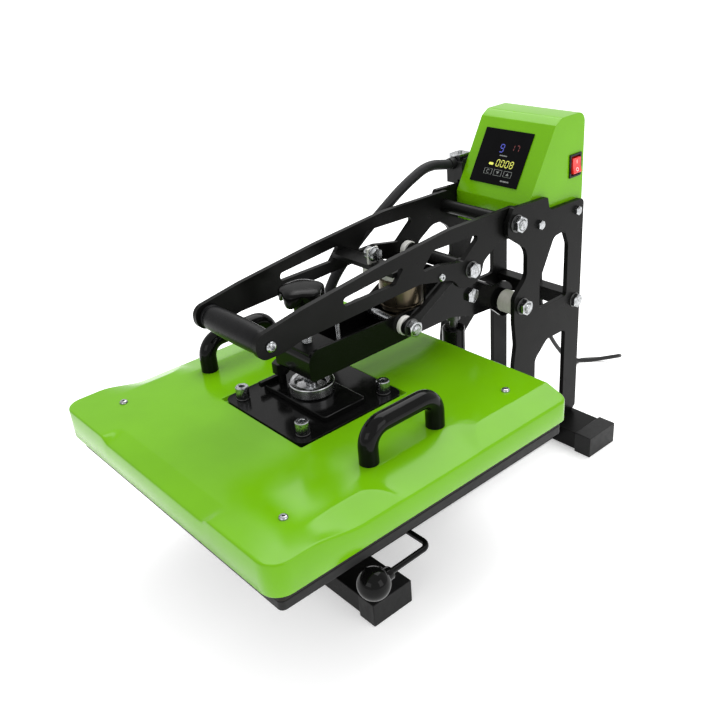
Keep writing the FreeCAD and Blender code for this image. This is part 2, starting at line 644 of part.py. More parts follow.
cover_hollow = slab("cover_hollow", "XY_Plane", "cover_low - 1", "cover_inside - cover_low + 1", rectangle(
    -size("cover_half") + size("cover_skin"), size("cover_front") + size("cover_skin"),
    size("cover_half") - size("cover_skin"), 191, 12))
cover_pocket = box("cover_pocket", (-165, -172, "cover_inside - 1"),
                   (330, 355, "cover_recess - cover_skin - cover_inside + 1"))
cover_holes = [rod(f"cover_hole_{number}", "z", (x, y, 150), "plate_bolt_radius + 0.3", 60)
               for number, (x, y) in enumerate(PLATE_BOLTS)]
cover_holes += [rod(f"cover_screw_hole_{number}", "z", (x, y, 150), "cover_screw_radius + 0.3", 60)
                for number, (x, y) in enumerate(COVER_SCREWS)]
finish("upper_platen_cover", cut("cover_shell", cover, cover_hollow, cover_pocket, *bevel_cuts, *cover_holes))


def head_down_screw(name, spot, seat, head_radius, head_thick, radius, depth):
    """A screw along z with a round head standing on its seat."""
    x, y = spot
    head = rod(name + "_head", "z", (x, y, seat), head_radius, head_thick)
    shank = rod(name + "_shank", "z", (x, y, f"{seat} - ({depth})"), radius, depth)
    return fuse(name, head, shank)


finish("mounting_plate", slab(
    "mounting_slab", "XY_Plane", "cover_recess", "plate_top - cover_recess", rectangle(*PLATE, 12),
    holes=[(*spot, "plate_bolt_radius + 0.1") for spot in PLATE_BOLTS]))
finish("swivel_plate", slab("swivel_slab", "XY_Plane", "plate_top", "swivel_plate_top - plate_top",
                            rectangle(-55.5, -26, 55.5, 30, 4)))
finish("mounting_plate_bolts", group("plate_bolts", [
    head_down_screw(f"plate_bolt_{number}", spot, "plate_top", 7.5, 15, "plate_bolt_radius", 30)
    for number, spot in enumerate(PLATE_BOLTS)]))
finish("cover_screws", group("cover_screw_set", [
    head_down_screw(f"cover_screw_{number}", spot, "cover_top", 4.6, 3, "cover_screw_radius", 29)
    for number, spot in enumerate(COVER_SCREWS)]))

COLLAR_HEIGHT = size("collar_top") - size("swivel_plate_top")
COLLAR_BORE = size("screw_radius") + size("fit_gap")
COLLAR = ((COLLAR_BORE, 0, 0), (size("collar_radius") - 1, 0, 0), (size("collar_radius"), 2, 0),
          (size("collar_radius"), COLLAR_HEIGHT, 1.5), (19, COLLAR_HEIGHT, 1), (17, COLLAR_HEIGHT - 5, 1),
          (COLLAR_BORE, COLLAR_HEIGHT - 5, 0))
finish("swivel_collar", turned("collar", COLLAR, "z", (0, "screw_y", "swivel_plate_top")))
GUIDE_X = -41
GUIDE_Y = -8
GUIDE_HEAD_Z = 212
guide_stem = rod("guide_stem", "z", (GUIDE_X, GUIDE_Y, "swivel_plate_top"), 4.5,
                 GUIDE_HEAD_Z - size("swivel_plate_top"))
guide_head = hexagon("guide_head", "z", (GUIDE_X, GUIDE_Y, GUIDE_HEAD_Z), 17, 13)
guide_rib = box("guide_rib", (-52, -33, "swivel_plate_top"), (5, 27, 6))
finish("guide_post", fuse("guide_post_solid", guide_stem, guide_head, guide_rib))

side_handles = []
for side_name, side in SIDES:
    x = side * size("side_handle_x")
    base = size("cover_top")
    corners = ((x, size("side_handle_front"), base), (x, size("side_handle_front"), size("side_handle_z")),
               (x, size("side_handle_rear"), size("side_handle_z")), (x, size("side_handle_rear"), base))
    path, _ = bent_path(corners, size("side_handle_bend"))
    side_handles.append(swept(side_name + "_side_handle", path, size("side_handle_radius")))
finish("side_handles", group("side_handle_pair", side_handles))
HOSE_ENTRY = (-88, 92)


# Pressure screw and knob

ROD_LOW = size("swivel_plate_top") + size("face_gap")
ROD_TOP = size("knob_top") - 8
screw_rod = rod("pressure_rod", "z", (0, "screw_y", ROD_LOW), "screw_radius", ROD_TOP - ROD_LOW)
lock_nut = hexagon("lock_nut", "z", (0, "screw_y", "collar_top + face_gap"), "nut_across", "nut_thick - 1")
finish("pressure_screw", fuse("screw_and_nut", screw_rod, lock_nut))

LOBES = 5
LOBE_REACH = 17.5
knob_pieces = [rod("knob_disc", "z", (0, "screw_y", "knob_low"), 22, "knob_top - knob_low"),
               rod("knob_hub", "z", (0, "screw_y", "hub_low"), "hub_radius", "knob_low - hub_low")]
for number in range(LOBES):
    turn = 2 * math.pi * number / LOBES
    at = (LOBE_REACH * math.cos(turn), size("screw_y") + LOBE_REACH * math.sin(turn), "knob_low")
    knob_pieces.append(rod(f"knob_lobe_{number}", "z", at, 7.5, "knob_top - knob_low - 3"))
knob_bore = rod("knob_bore", "z", (0, "screw_y", "hub_low"), "screw_radius", ROD_TOP - size("hub_low"))
finish("pressure_knob", cut("knob", fuse("knob_solid", *knob_pieces), knob_bore))


# Handle

HANDLE_SIDE = (
    (-95.5, 290.5, 13), (-95.5, 316, 12), (-38, 326, 60), (64, 338.5, 120), (165, 347.5, 120),
    (285, 345.5, 18), (285, 309, 18), (243, 310, 18), (216, 294, 12), (216, 273, 18), (178, 273, 16),
    (170, 288, 20), (118, 300, 20), (-44, 295, 40), (-62, 291, 20),
)
FRONT_SLOT = ((12, 311, 4), (12, 320, 4), (96, 327.5, 2), (82, 311.5, 3))
REAR_SLOT = ((119, 312, 3), (138, 332, 4), (215, 329.5, 4), (184, 305, 4), (149, 312, 6))
SIDE_SCREW = (150, 297.5)
GRIP = ("grip_y", "grip_z")
for side_name, side in SIDES:
    start, _ = span(side, "arm_inner", "arm_inner + arm_thick")
    finish(side_name + "_handle_arm", slab(
        side_name + "_arm_plate", "YZ_Plane", start, "arm_thick", HANDLE_SIDE,
        windows=(FRONT_SLOT, REAR_SLOT),
        holes=((size("handle_pivot_y"), size("handle_pivot_z"), "pivot_radius + fit_gap"),
               (size("toggle_y"), size("toggle_z"), "pivot_radius + 0.01"),
               (size("grip_y"), size("grip_z"), "4.1"),
               (*SIDE_SCREW, "side_screw_radius + fit_gap"))))

finish("handle_pivot_tube", ring("handle_tube", "x", ("-arm_inner", *HANDLE_PIVOT), "handle_tube_radius",
                                 "pivot_radius + fit_gap", "2 * arm_inner"))
grip_half = size("arm_inner")
GRIP_PROFILE = ((size("grip_bar_radius"), 0, 0), (size("grip_end_radius"), 0, 2),
                (size("grip_radius"), 0.5 * grip_half, 150), (size("grip_radius"), 1.5 * grip_half, 150),
                (size("grip_end_radius"), 2 * grip_half, 2), (size("grip_bar_radius"), 2 * grip_half, 0))
finish("handle_grip", turned("grip_sleeve", GRIP_PROFILE, "x", ("-arm_inner", *GRIP)))
grip_bar = rod("grip_bar_solid", "x", ("-arm_inner", *GRIP), "grip_bar_radius", "2 * arm_inner")
grip_bores = [
    rod(side_name + "_grip_thread", "x", (span(side, "arm_inner - 16", "arm_inner")[0], *GRIP), 4.1, 16)
    for side_name, side in SIDES]
grip_screws = []
for side_name, side in SIDES:
    head_start, head_length = span(side, "arm_inner + arm_thick", "arm_inner + arm_thick + 3.5")
    shank_start, shank_length = span(side, "arm_inner - 14", "arm_inner + arm_thick")
    grip_screws.append(fuse(
        side_name + "_grip_screw", rod(side_name + "_grip_head", "x", (head_start, *GRIP), 5.8, head_length),
        rod(side_name + "_grip_shank", "x", (shank_start, *GRIP), 4, shank_length)))
finish("grip_bar", group("grip_bar_and_screws", [cut("grip_bar_bored", grip_bar, *grip_bores), *grip_screws]))

side_screws = []
for side_name, side in SIDES:
    head_start, head_length = span(side, "arm_inner + arm_thick", "arm_inner + arm_thick + 2.5")
    shank_start, shank_length = span(side, "arm_inner - 4", "arm_inner + arm_thick")
    nut_start, nut_length = span(side, "arm_inner - 4", "arm_inner")
    side_screws.append(fuse(
        side_name + "_side_screw",
        rod(side_name + "_side_head", "x", (head_start, *SIDE_SCREW), 4.5, head_length),
        rod(side_name + "_side_shank", "x", (shank_start, *SIDE_SCREW), "side_screw_radius", shank_length),
        hexagon(side_name + "_side_nut", "x", (nut_start, *SIDE_SCREW), 8, nut_length)))

PLATE_TOP = "cross_plate_low + cross_plate_thick"
LUG_BOLT = (93, 332)
LUG_BOLT_RADIUS = 4
cross_plate = box("cross_plate", ("-arm_inner", "cross_plate_y", "cross_plate_low"),
                  ("2 * arm_inner", "cross_plate_depth", "cross_plate_thick"))
lug = cut("lug", box("lug_solid", (8, 86, PLATE_TOP), (3, 14, 17)),
          rod("lug_bore", "x", (8, *LUG_BOLT), LUG_BOLT_RADIUS, 3))
finish("arm_cross_plate", fuse("cross_plate_and_lug", cross_plate, lug))

KEEPER_LOW = "magnet_top + face_gap"
KEEPER_THICK = 6
LEG_START = -20
LEG_WIDTH = 10
LEG_THICK = 4
LEG_Y = size("cross_plate_y") + size("cross_plate_depth") - LEG_THICK
keeper = fuse(
    "keeper",
    rod("keeper_disc", "z", (0, "magnet_y", KEEPER_LOW), 23, KEEPER_THICK),
    box("keeper_foot", (LEG_START, LEG_Y, KEEPER_LOW), (LEG_WIDTH, f"magnet_y - {LEG_Y}", KEEPER_THICK)),
    box("keeper_leg", (LEG_START, LEG_Y, KEEPER_LOW),
        (LEG_WIDTH, LEG_THICK, f"cross_plate_low - ({KEEPER_LOW})")))
lug_washer = ring("lug_washer", "x", (11, *LUG_BOLT), 8, LUG_BOLT_RADIUS, 1.5)
lug_bolt = fuse("lug_bolt", rod("lug_bolt_shank", "x", (3, *LUG_BOLT), LUG_BOLT_RADIUS, 9.5),
                hexagon("lug_bolt_head", "x", (12.5, *LUG_BOLT), 13, 5),
                hexagon("lug_bolt_nut", "x", (3, *LUG_BOLT), 13, 5))
finish("magnet_keeper", group("keeper_and_bolt", [keeper, lug_washer, lug_bolt]))

TOGGLE_HEAD = 16
toggle_bolts = []
toggle_washers = []
for side_name, side in SIDES:
    toggle_bolts.append(bolt(side_name + "_toggle_bolt", side, "arm_inner + arm_thick", 7, TOGGLE_HEAD,
                             "link_inner + link_thick + face_gap", "pivot_radius", TOGGLE))
    start, length = span(side, "link_inner + link_thick + face_gap", "arm_inner")
    toggle_washers.append(ring(side_name + "_toggle_washer", "x", (start, *TOGGLE), "washer_radius",
                               "pivot_radius", length))
finish("toggle_bolts", group("toggle_bolt_set", [*toggle_bolts, *toggle_washers, *side_screws]))


# Toggle links

def link_outline():
    """Two round ends with a narrower waist between them, from the link pin to the toggle pin."""
    pin = FreeCAD.Vector(size("link_pin_y"), size("link_pin_z"), 0)
    toggle = FreeCAD.Vector(size("toggle_y"), size("toggle_z"), 0)
    along = (toggle - pin).normalize()
    across = FreeCAD.Vector(-along.y, along.x, 0)
    radius = size("link_end_radius")
    rounding = 0.8 * radius
    waist = size("link_waist")
    near = pin + along * radius * 2
    far = toggle - along * radius * 2
    corners = ((pin - along * radius - across * radius, rounding),
               (pin - along * radius + across * radius, rounding),
               (near + across * waist, radius), (far + across * waist, radius),
               (toggle + along * radius + across * radius, rounding),
               (toggle + along * radius - across * radius, rounding),
               (far - across * waist, radius), (near - across * waist, radius))
    return [(corner.x, corner.y, corner_radius) for corner, corner_radius in corners]


links = []
for side_name, side in SIDES:
    start, _ = span(side, "link_inner", "link_inner + link_thick")
    links.append(slab(side_name + "_link_plate", "YZ_Plane", start, "link_thick", link_outline(),
                      holes=((size("link_pin_y"), size("link_pin_z"), "pivot_radius + fit_gap"),)))
links.append(rod("toggle_spacer", "x", ("-link_inner", *TOGGLE), "spacer_radius", "2 * link_inner"))
finish("toggle_links", group("link_set", links))


# Gas spring

SPRING_LOW = ("spring_y", "spring_low_z")
EAR_INNER = 8.3
EAR_THICK = 4
bracket_plate = box("bracket_plate", (-40, 200, FLOOR_TOP), (80, 46, 4))
ears = []
for side_name, side in SIDES:
    start, length = span(side, EAR_INNER, EAR_INNER + EAR_THICK)
    ears.append(box(side_name + "_ear", (start, 213, f"{FLOOR_TOP} + 4"), (length, 20, 27)))
ear_hole = rod("ear_hole", "x", (-20, *SPRING_LOW), 4, 40)
finish("gas_spring_bracket", group("bracket_and_pin", [
    cut("bracket", fuse("bracket_solid", bracket_plate, *ears), ear_hole),
    rod("lower_pin", "x", (-16, *SPRING_LOW), 4, 32)]))

eye_disc = rod("lower_eye_disc", "x", (-8, *SPRING_LOW), 9, 16)
eye_neck = rod("lower_eye_neck", "z", (0, "spring_y", "spring_low_z"), 7, "cylinder_low - spring_low_z")
eye_hole = rod("lower_eye_hole", "x", (-9, *SPRING_LOW), "4 + fit_gap", 18)
lower_eye = cut("lower_eye", fuse("lower_eye_solid", eye_disc, eye_neck), eye_hole)

CYLINDER_LENGTH = size("cylinder_top") - size("cylinder_low")
ROD_BORE = size("rod_radius") + size("fit_gap")
CYLINDER = ((0, 0, 0), (size("cylinder_radius"), 0, 3), (size("cylinder_radius"), CYLINDER_LENGTH, 3),
            (ROD_BORE, CYLINDER_LENGTH, 0), (ROD_BORE, CYLINDER_LENGTH - 8, 0),
            (11, CYLINDER_LENGTH - 8, 0), (11, 4, 0), (0, 4, 0))
finish("gas_spring_cylinder", fuse("cylinder_and_eye", lower_eye,
                                   turned("cylinder", CYLINDER, "z", (0, "spring_y", "cylinder_low"))))

PISTON_LOW = 100
ROD_END_LOW = 205
ROD_SEAT = 230
rod_solid = rod("spring_rod", "z", (0, "spring_y", PISTON_LOW), "rod_radius", ROD_SEAT - PISTON_LOW)
piston = rod("spring_piston", "z", (0, "spring_y", PISTON_LOW), 10.9, 10)
sleeve = rod("rod_end_sleeve", "z", (0, "spring_y", ROD_END_LOW), 8.5, f"spring_top_z - {ROD_END_LOW}")
top_eye = rod("rod_end_eye", "x", (-9, *SPRING_TOP), 10, 18)
pin_seat = rod("rod_end_hole", "x", (-10, *SPRING_TOP), 4, 20)
PIN_HALF = size("channel_half") - size("channel_wall") - 0.5
finish("gas_spring_rod", group("rod_and_pin", [
    cut("rod_with_eye", fuse("rod_solid", rod_solid, piston, sleeve, top_eye), pin_seat),
    rod("upper_pin", "x", (-PIN_HALF, *SPRING_TOP), 4, 2 * PIN_HALF)]))


# Control box

BOX_SIDE = ((341.6, 421.5, 3), (294.1, 339, 5), (294, 302, 4), (397, 302, 4), (397, 428.5, 13),
            (352.5, 428.5, 8))
BACK_TOP = 414
BOX_INSIDE = ((343.09, 420.08, 1), (296.1, 338.5, 3), (296, 304, 2), (399, 304, 0), (399, BACK_TOP, 0),
              (395, BACK_TOP, 0), (395, 426.5, 11), (353.09, 426.5, 6))
box_solid = slab("box_solid", "YZ_Plane", "-box_half", "2 * box_half", BOX_SIDE)
box_hollow = slab("box_hollow", "YZ_Plane", "-box_half + box_skin", "2 * (box_half - box_skin)", BOX_INSIDE)
box_openings = [
    rod(f"box_screw_hole_{number}", "x", ("-box_half", *screw), BOX_SCREW_RADIUS + 0.1, "2 * box_half")
    for number, screw in enumerate(BOX_SCREWS)]
box_openings.append(rod("box_gland_hole", "z", ("gland_x", "gland_y", 300), 6.05, 8))
ROCKER_HALF_Y = 9.5
ROCKER_HALF_Z = 12.5
box_openings.append(box("box_rocker_hole", ("box_half - box_skin - 1", f"rocker_y - {ROCKER_HALF_Y}",
                                            f"rocker_z - {ROCKER_HALF_Z}"),
                        ("box_skin + 2", 2 * ROCKER_HALF_Y, 2 * ROCKER_HALF_Z)))
finish("control_box", cut("box_shell", box_solid, box_hollow, *box_openings))
finish("control_box_back", box("back_panel", ("-box_half + box_skin", 394.5, 304),
                               ("2 * (box_half - box_skin)", 2, BACK_TOP - 304)))
for side_name, side in SIDES:
    for number, screw in enumerate(BOX_SCREWS):
        upright_screws.append(bolt(f"{side_name}_box_screw_{number}", side, OUTER_FACE, 4, 10,
                                   "box_half - box_skin - 3", BOX_SCREW_RADIUS, screw))
        start, length = span(side, "box_half", "upright_inner")
        upright_screws.append(ring(f"{side_name}_box_spacer_{number}", "x", (start, *screw), 7,
                                   BOX_SCREW_RADIUS + 0.1, length))
finish("upright_screws", group("upright_screw_set", upright_screws))

FACE_HIGH, FACE_LOW = BOX_SIDE[:2]
FACE_SLOPE = (FACE_HIGH[0] - FACE_LOW[0]) / (FACE_HIGH[1] - FACE_LOW[1])
FACE_FOOT_Z = 321
FACE_FOOT = (FACE_LOW[0] - FACE_SLOPE * (FACE_LOW[1] - FACE_FOOT_Z), FACE_FOOT_Z)
FACE_TILT = math.degrees(math.atan(FACE_SLOPE))
FACE_UP = (math.sin(math.radians(FACE_TILT)), math.cos(math.radians(FACE_TILT)))


def on_face(name, x, up, inward, sizes):
    """A box parallel to the slanted face, placed up the face and inward from it."""
    obj = box(name, (x, FACE_FOOT[0] + FACE_UP[0] * up + FACE_UP[1] * inward,
                     FACE_FOOT[1] + FACE_UP[1] * up - FACE_UP[0] * inward), sizes)
    obj.Placement = FreeCAD.Placement(FreeCAD.Vector(), FreeCAD.Rotation(FreeCAD.Vector(1, 0, 0), -FACE_TILT))
    place(obj, places[obj.Name])
    return obj


PANEL_THICK = 1.5
finish("display_panel", on_face("panel_glass", -41, 36.6, -PANEL_THICK, (73, PANEL_THICK, 66.5)))
electronics = [on_face("board", -40, 30, 12, (80, 1.6, 72)), box("relay_block", (-20, 335, 304), (44, 38, 36))]
for number, (x, up) in enumerate(((-37, 34), (33, 34), (-37, 94), (33, 94))):
    electronics.append(on_face(f"standoff_{number}", x, up, 2.25, (5, 9.75, 5)))
finish("control_electronics", group("electronics", electronics))

housing = box("rocker_housing", ("box_half - 24", f"rocker_y - {ROCKER_HALF_Y - 0.1}",
                                 f"rocker_z - {ROCKER_HALF_Z - 0.1}"),
              (24, 2 * ROCKER_HALF_Y - 0.2, 2 * ROCKER_HALF_Z - 0.2))
bezel = box("rocker_bezel", ("box_half", "rocker_y - 11", "rocker_z - 14"), (2, 22, 28))
ROCKER_WIDTH = 15
well = box("rocker_well", ("box_half - 14", "rocker_y - 8.2", "rocker_z - 11.7"), (17, 16.4, 23.4))
axle_hole = rod("rocker_axle_hole", "y", ("box_half - 7", "rocker_y - 9", "rocker_z"), 1.55, 18)
finish("rocker_switch_body", cut("rocker_case", fuse("rocker_case_solid", housing, bezel), well, axle_hole))
ROCKER_SIDE = ((50.3, 358.6, 1), (61.4, 358.4, 1), (59.4, 367.6, 0), (59.4, 376.9, 1), (50.3, 376.9, 1))
rocker_cap = slab("rocker_cap", "XZ_Plane", f"-rocker_y - {ROCKER_WIDTH / 2}", ROCKER_WIDTH, ROCKER_SIDE)
rocker_axle = rod("rocker_axle", "y", ("box_half - 7", "rocker_y - 8.7", "rocker_z"), 1.5, 17.4)
finish("rocker_switch", fuse("rocker", rocker_cap, rocker_axle))

gland_outer = rod("gland_outer", "z", ("gland_x", "gland_y", 290), 8, 12)
gland_stem = rod("gland_stem", "z", ("gland_x", "gland_y", 302), 6, 8)
gland_bore = rod("gland_bore", "z", ("gland_x", "gland_y", 294), 3.5, 18)
finish("cord_gland", cut("gland", fuse("gland_solid", gland_outer, gland_stem), gland_bore))

HOSE_START = (-72, 298, 368)
connector_body = box("connector_body", (-82, 304, 343), (18, 26, 28))
connector_bridge = box("connector_bridge", (-64, 304, 349), (8, 26, 22))
connector_flange = box("connector_flange", (-57.2, 308, 337), (1.2, 26, 38))
connector_neck = rod("connector_neck", "y", HOSE_START, 7.5, 8)
clamp_block = box("clamp_block", (-80, 307, 371), (18, 20, 8))
clamp_screw = rod("clamp_screw", "z", (-71, 317, 379), 2.5, 2)
finish("heater_connector", group("connector_and_clamp", [
    fuse("connector", connector_body, connector_bridge, connector_flange, connector_neck),
    fuse("clamp", clamp_block, clamp_screw)]))


# Leads

HOSE_ROUTE = (HOSE_START, (-74, 262, 375), (-76, 222, 358), (-76, 180, 334), (-77, 140, 308), (-83, 106, 272),
              (-88, 92, 232), (*HOSE_ENTRY, 193.05))
hose_path, hose_radii = bent_path(HOSE_ROUTE)
print("heater hose radii", hose_radii)
finish("heater_hose", swept("hose", hose_path, size("hose_radius")))

CORD_ROUTE = (
    (-6, 384, 290), (-6, 384.5, 262), (-6.5, 399, 226), (-6, 400, 150), (-10, 432, 92), (-12, 484.5, 32.5),
    (30.4, 562.8, 30.5), (-10.8, 584.5, 3), (-54, 536, 3), (43, 405, 3), (-183, 405, 3),
)
cord_path, cord_radii = bent_path(CORD_ROUTE)
print("power cord radii", cord_radii)
finish("power_cord", swept("cord", cord_path, size("cord_radius")))


def biarc(start, start_way, end, end_way):
    """Two tangent arcs between two points with given directions."""
    gap = end - start
    both = start_way + end_way
    spread = 2 * (1 - start_way.dot(end_way))
    reach = (-gap.dot(both) + math.sqrt(gap.dot(both) ** 2 + spread * gap.dot(gap))) / spread
    joint = (start + start_way * reach + end - end_way * reach) * 0.5
    join_way = (end - end_way * reach - start - start_way * reach).normalize()
    return [arc_from(start, start_way, joint), arc_from(joint, join_way, end)]


def arc_from(start, way, end):
    """The arc that leaves start along way and reaches end."""
    chord = end - start
    normal = (chord - way * chord.dot(way)).normalize()
    radius = chord.dot(chord) / (2 * chord.dot(normal))
    centre = start + normal * radius
    middle = centre - ((start + end) * 0.5 - centre).normalize() * (-radius)
    return Part.Arc(start, middle, end).toShape()


COIL_CENTRE = (-190, 405 - size("coil_radius"))
COIL_TURNS = 2
LEAD_IN = 7
LEAD_OUT = 30


def coil_wire():
    """Spirals in on the table and out again one layer higher, half a turn at a time."""
    pitch = size("coil_pitch")
    radius = size("coil_radius")
    low = size("cord_radius")
    crossings = []
    for half_turn in range(2 * COIL_TURNS + 1):
        side = 1 if half_turn % 2 == 0 else -1
        crossings.append((side * (radius - pitch * (half_turn // 2)), side, low))
    inner = crossings[-1]
    for half_turn in range(1, 2 * COIL_TURNS + 2):
        side = -inner[1] if half_turn % 2 else inner[1]
        crossings.append((side * (abs(inner[0]) + pitch * (half_turn // 2)), side, low + pitch))
    spots = [FreeCAD.Vector(COIL_CENTRE[0], COIL_CENTRE[1] + y, z) for y, _, z in crossings]
    ways = [FreeCAD.Vector(-side, 0, 0) for _, side, _ in crossings]
    edges = [Part.LineSegment(spots[0] - ways[0] * LEAD_IN, spots[0]).toShape()]
    for first, way, second, next_way in zip(spots, ways, spots[1:], ways[1:]):
        edges += biarc(first, way, second, next_way)
    exit_end = spots[-1] + ways[-1] * LEAD_OUT
    edges.append(Part.LineSegment(spots[-1], exit_end).toShape())
    return Part.Wire(edges), exit_end, ways[-1]


def least_gap(wire, diameter):
    """Least distance between two stretches of the same tube that are over a third of a loop apart."""
    step = 3
    points = wire.discretize(Distance=step)
    skip = int(3 * size("coil_radius") / step)
    return min(first.distanceToPoint(second) for number, first in enumerate(points)
               for second in points[number + skip:]) - diameter


coil_path, coil_exit, exit_way = coil_wire()
coil_gap = least_gap(coil_path, 2 * size("cord_radius"))
print(f"coil: length {coil_path.Length:.0f} mm, least gap {coil_gap:.2f} mm")
finish("power_cord_coil", swept("cord_coil", coil_path, size("cord_radius")))

PLUG_BODY = ((0, 0, 0), (4.5, 0, 1), (5.5, 14, 3), (9.4, 20, 3), (9.4, 42, 2), (0, 42, 0))
plug_body = turned("plug_body", PLUG_BODY, "y", (0, 0, 0))
pins = [box(f"plug_pin_{number}", (x - 0.75, 42, -4), (1.5, 16, 6)) for number, x in enumerate((-6.3, 6.3))]
earth = rod("plug_earth", "y", (0, 42, 6), 2.4, 18)
plug = fuse("plug_solid", plug_body, *pins, earth)
plug.Placement = FreeCAD.Placement(FreeCAD.Vector(), FreeCAD.Rotation(UP, -90 if exit_way.x > 0 else 90))
place(plug, (coil_exit.x, coil_exit.y, coil_exit.z))
finish("power_plug", plug)


# Lock lever

LEVER_LEFT = -size("block_half") - 8
lever_route, _ = bent_path(((LEVER_LEFT, size("lever_y"), size("lever_z")),
                           (size("lever_reach"), size("lever_y"), size("lever_z")),
                           (size("lever_reach") + 1, size("ball_y") + 4, size("lever_z"))), 9)
lever = [swept("lever_rod", lever_route, size("lever_radius"))]
ball = doc.addObject("Part::Sphere", "ball_solid")
put(ball, "Radius", "ball_radius")
place(ball, ("lever_reach + 1", "ball_y", "lever_z"))
neck = rod("ball_neck", "y", ("lever_reach + 1", "ball_y + 12", "lever_z"), 6.5, 9)
ball_bore = rod("ball_bore", "y", ("lever_reach + 1", "ball_y + 4", "lever_z"), "lever_radius + 0.15", 30)
finish("lever_ball", cut("ball_knob", fuse("ball_and_neck", ball, neck), ball_bore))
for side_name, side in SIDES:
    start, length = span(side, "block_half + face_gap", "block_half + face_gap + 5")
    lever.append(ring(side_name + "_lever_collar", "x", (start, "lever_y", "lever_z"), 7, "lever_radius",
                      length))
finish("lock_lever", group("lever_set", lever))


# Check and write

doc.recompute()
for obj in doc.Objects:
    faults = [state for state in obj.State if state in ("Invalid", "Error")]
    if faults:
        raise RuntimeError(f"{obj.Name} is {faults}")
os.makedirs("parts", exist_ok=True)
whole = FreeCAD.BoundBox()
for node in nodes:
    if node.Shape.isNull() or not node.Shape.isValid() or not node.Shape.Solids:
        raise RuntimeError(f"{node.Label} has no valid solid")
    node.Shape.exportStep(f"parts/{node.Label}.step")
    whole.add(node.Shape.BoundBox)
for node in nodes:
    if node.Shape.BoundBox.ZMin < 1:
        print(node.Label, round(node.Shape.optimalBoundingBox().ZMin, 3))
print(len(nodes), "nodes, whole box", [round(value, 1) for value in (
    whole.XMin, whole.YMin, whole.ZMin, whole.XMax, whole.YMax, whole.ZMax)])
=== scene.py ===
import json
import math

import bmesh
import bpy
from mathutils import Matrix, Vector
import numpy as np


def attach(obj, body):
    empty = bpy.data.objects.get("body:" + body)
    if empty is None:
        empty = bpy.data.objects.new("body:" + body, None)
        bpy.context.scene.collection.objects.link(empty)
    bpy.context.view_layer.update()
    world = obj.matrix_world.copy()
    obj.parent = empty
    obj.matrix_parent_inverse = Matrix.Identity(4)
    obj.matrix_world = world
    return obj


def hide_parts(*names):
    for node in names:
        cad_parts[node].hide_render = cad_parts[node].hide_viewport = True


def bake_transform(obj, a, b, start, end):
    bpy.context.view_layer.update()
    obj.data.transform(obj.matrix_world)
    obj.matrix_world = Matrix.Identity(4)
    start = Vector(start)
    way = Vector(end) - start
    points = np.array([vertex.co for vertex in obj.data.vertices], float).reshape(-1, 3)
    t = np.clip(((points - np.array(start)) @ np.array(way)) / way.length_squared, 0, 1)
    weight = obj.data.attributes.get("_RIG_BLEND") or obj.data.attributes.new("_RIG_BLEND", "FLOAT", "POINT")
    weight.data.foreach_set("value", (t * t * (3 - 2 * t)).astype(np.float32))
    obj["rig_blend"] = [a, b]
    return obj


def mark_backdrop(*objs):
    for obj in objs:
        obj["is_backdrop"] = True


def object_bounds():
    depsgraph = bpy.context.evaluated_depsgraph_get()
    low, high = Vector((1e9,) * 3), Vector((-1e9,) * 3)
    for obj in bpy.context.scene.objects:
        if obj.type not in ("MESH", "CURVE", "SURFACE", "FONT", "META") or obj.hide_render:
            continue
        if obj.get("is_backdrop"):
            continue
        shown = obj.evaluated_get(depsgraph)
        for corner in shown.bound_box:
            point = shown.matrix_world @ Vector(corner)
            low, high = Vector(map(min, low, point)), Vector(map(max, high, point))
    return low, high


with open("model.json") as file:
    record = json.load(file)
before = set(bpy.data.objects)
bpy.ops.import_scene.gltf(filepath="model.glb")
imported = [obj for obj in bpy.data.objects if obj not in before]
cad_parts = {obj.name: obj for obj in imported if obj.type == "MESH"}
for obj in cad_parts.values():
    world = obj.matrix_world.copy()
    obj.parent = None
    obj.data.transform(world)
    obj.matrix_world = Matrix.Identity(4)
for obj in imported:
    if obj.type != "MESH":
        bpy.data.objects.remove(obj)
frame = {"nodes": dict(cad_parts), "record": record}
cad_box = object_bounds()

# Press coordinates are millimetres from the middle of the lower platen, with z from the table.
SHIFT = Vector((-9.25, -98.5, 0.0))


def at(point):
    """A point of the press, in metres in the part's frame."""
    return (Vector(point) + SHIFT) / 1000


# Camera

CAMERA_SPOT = (672.7, -472.4, 660.5)
TURN = math.radians(51.0)
RISE = math.radians(27.5)
ROLL = math.radians(-4.87)
back = Vector((math.sin(TURN) * math.cos(RISE), -math.cos(TURN) * math.cos(RISE), math.sin(RISE)))
right = Vector((math.cos(TURN), math.sin(TURN), 0.0))
camera_data = bpy.data.cameras.new("camera")
camera_data.sensor_width = 36.0
camera_data.lens = 43.36
camera_data.shift_x = -0.0009
camera_data.shift_y = -0.0016
camera_data.dof.use_dof = False
camera = bpy.data.objects.new("camera", camera_data)
bpy.context.scene.collection.objects.link(camera)
level = Matrix((right, back.cross(right), back)).transposed()
camera_turn = level @ Matrix.Rotation(ROLL, 3, "Z")
camera.matrix_world = Matrix.Translation(at(CAMERA_SPOT)) @ camera_turn.to_4x4()
bpy.context.scene.camera = camera


# Materials

NOISE_LOW = 0.3
NOISE_HIGH = 0.7
COAT_ROUGH = 0.05
SPOT_EDGE = 0.06
MIX_A, MIX_B, MIX_RESULT = 6, 7, 2  # colour sockets of the Mix node


def link(tree, source, output, target, name):
    tree.links.new(source.outputs[output], target.inputs[name])


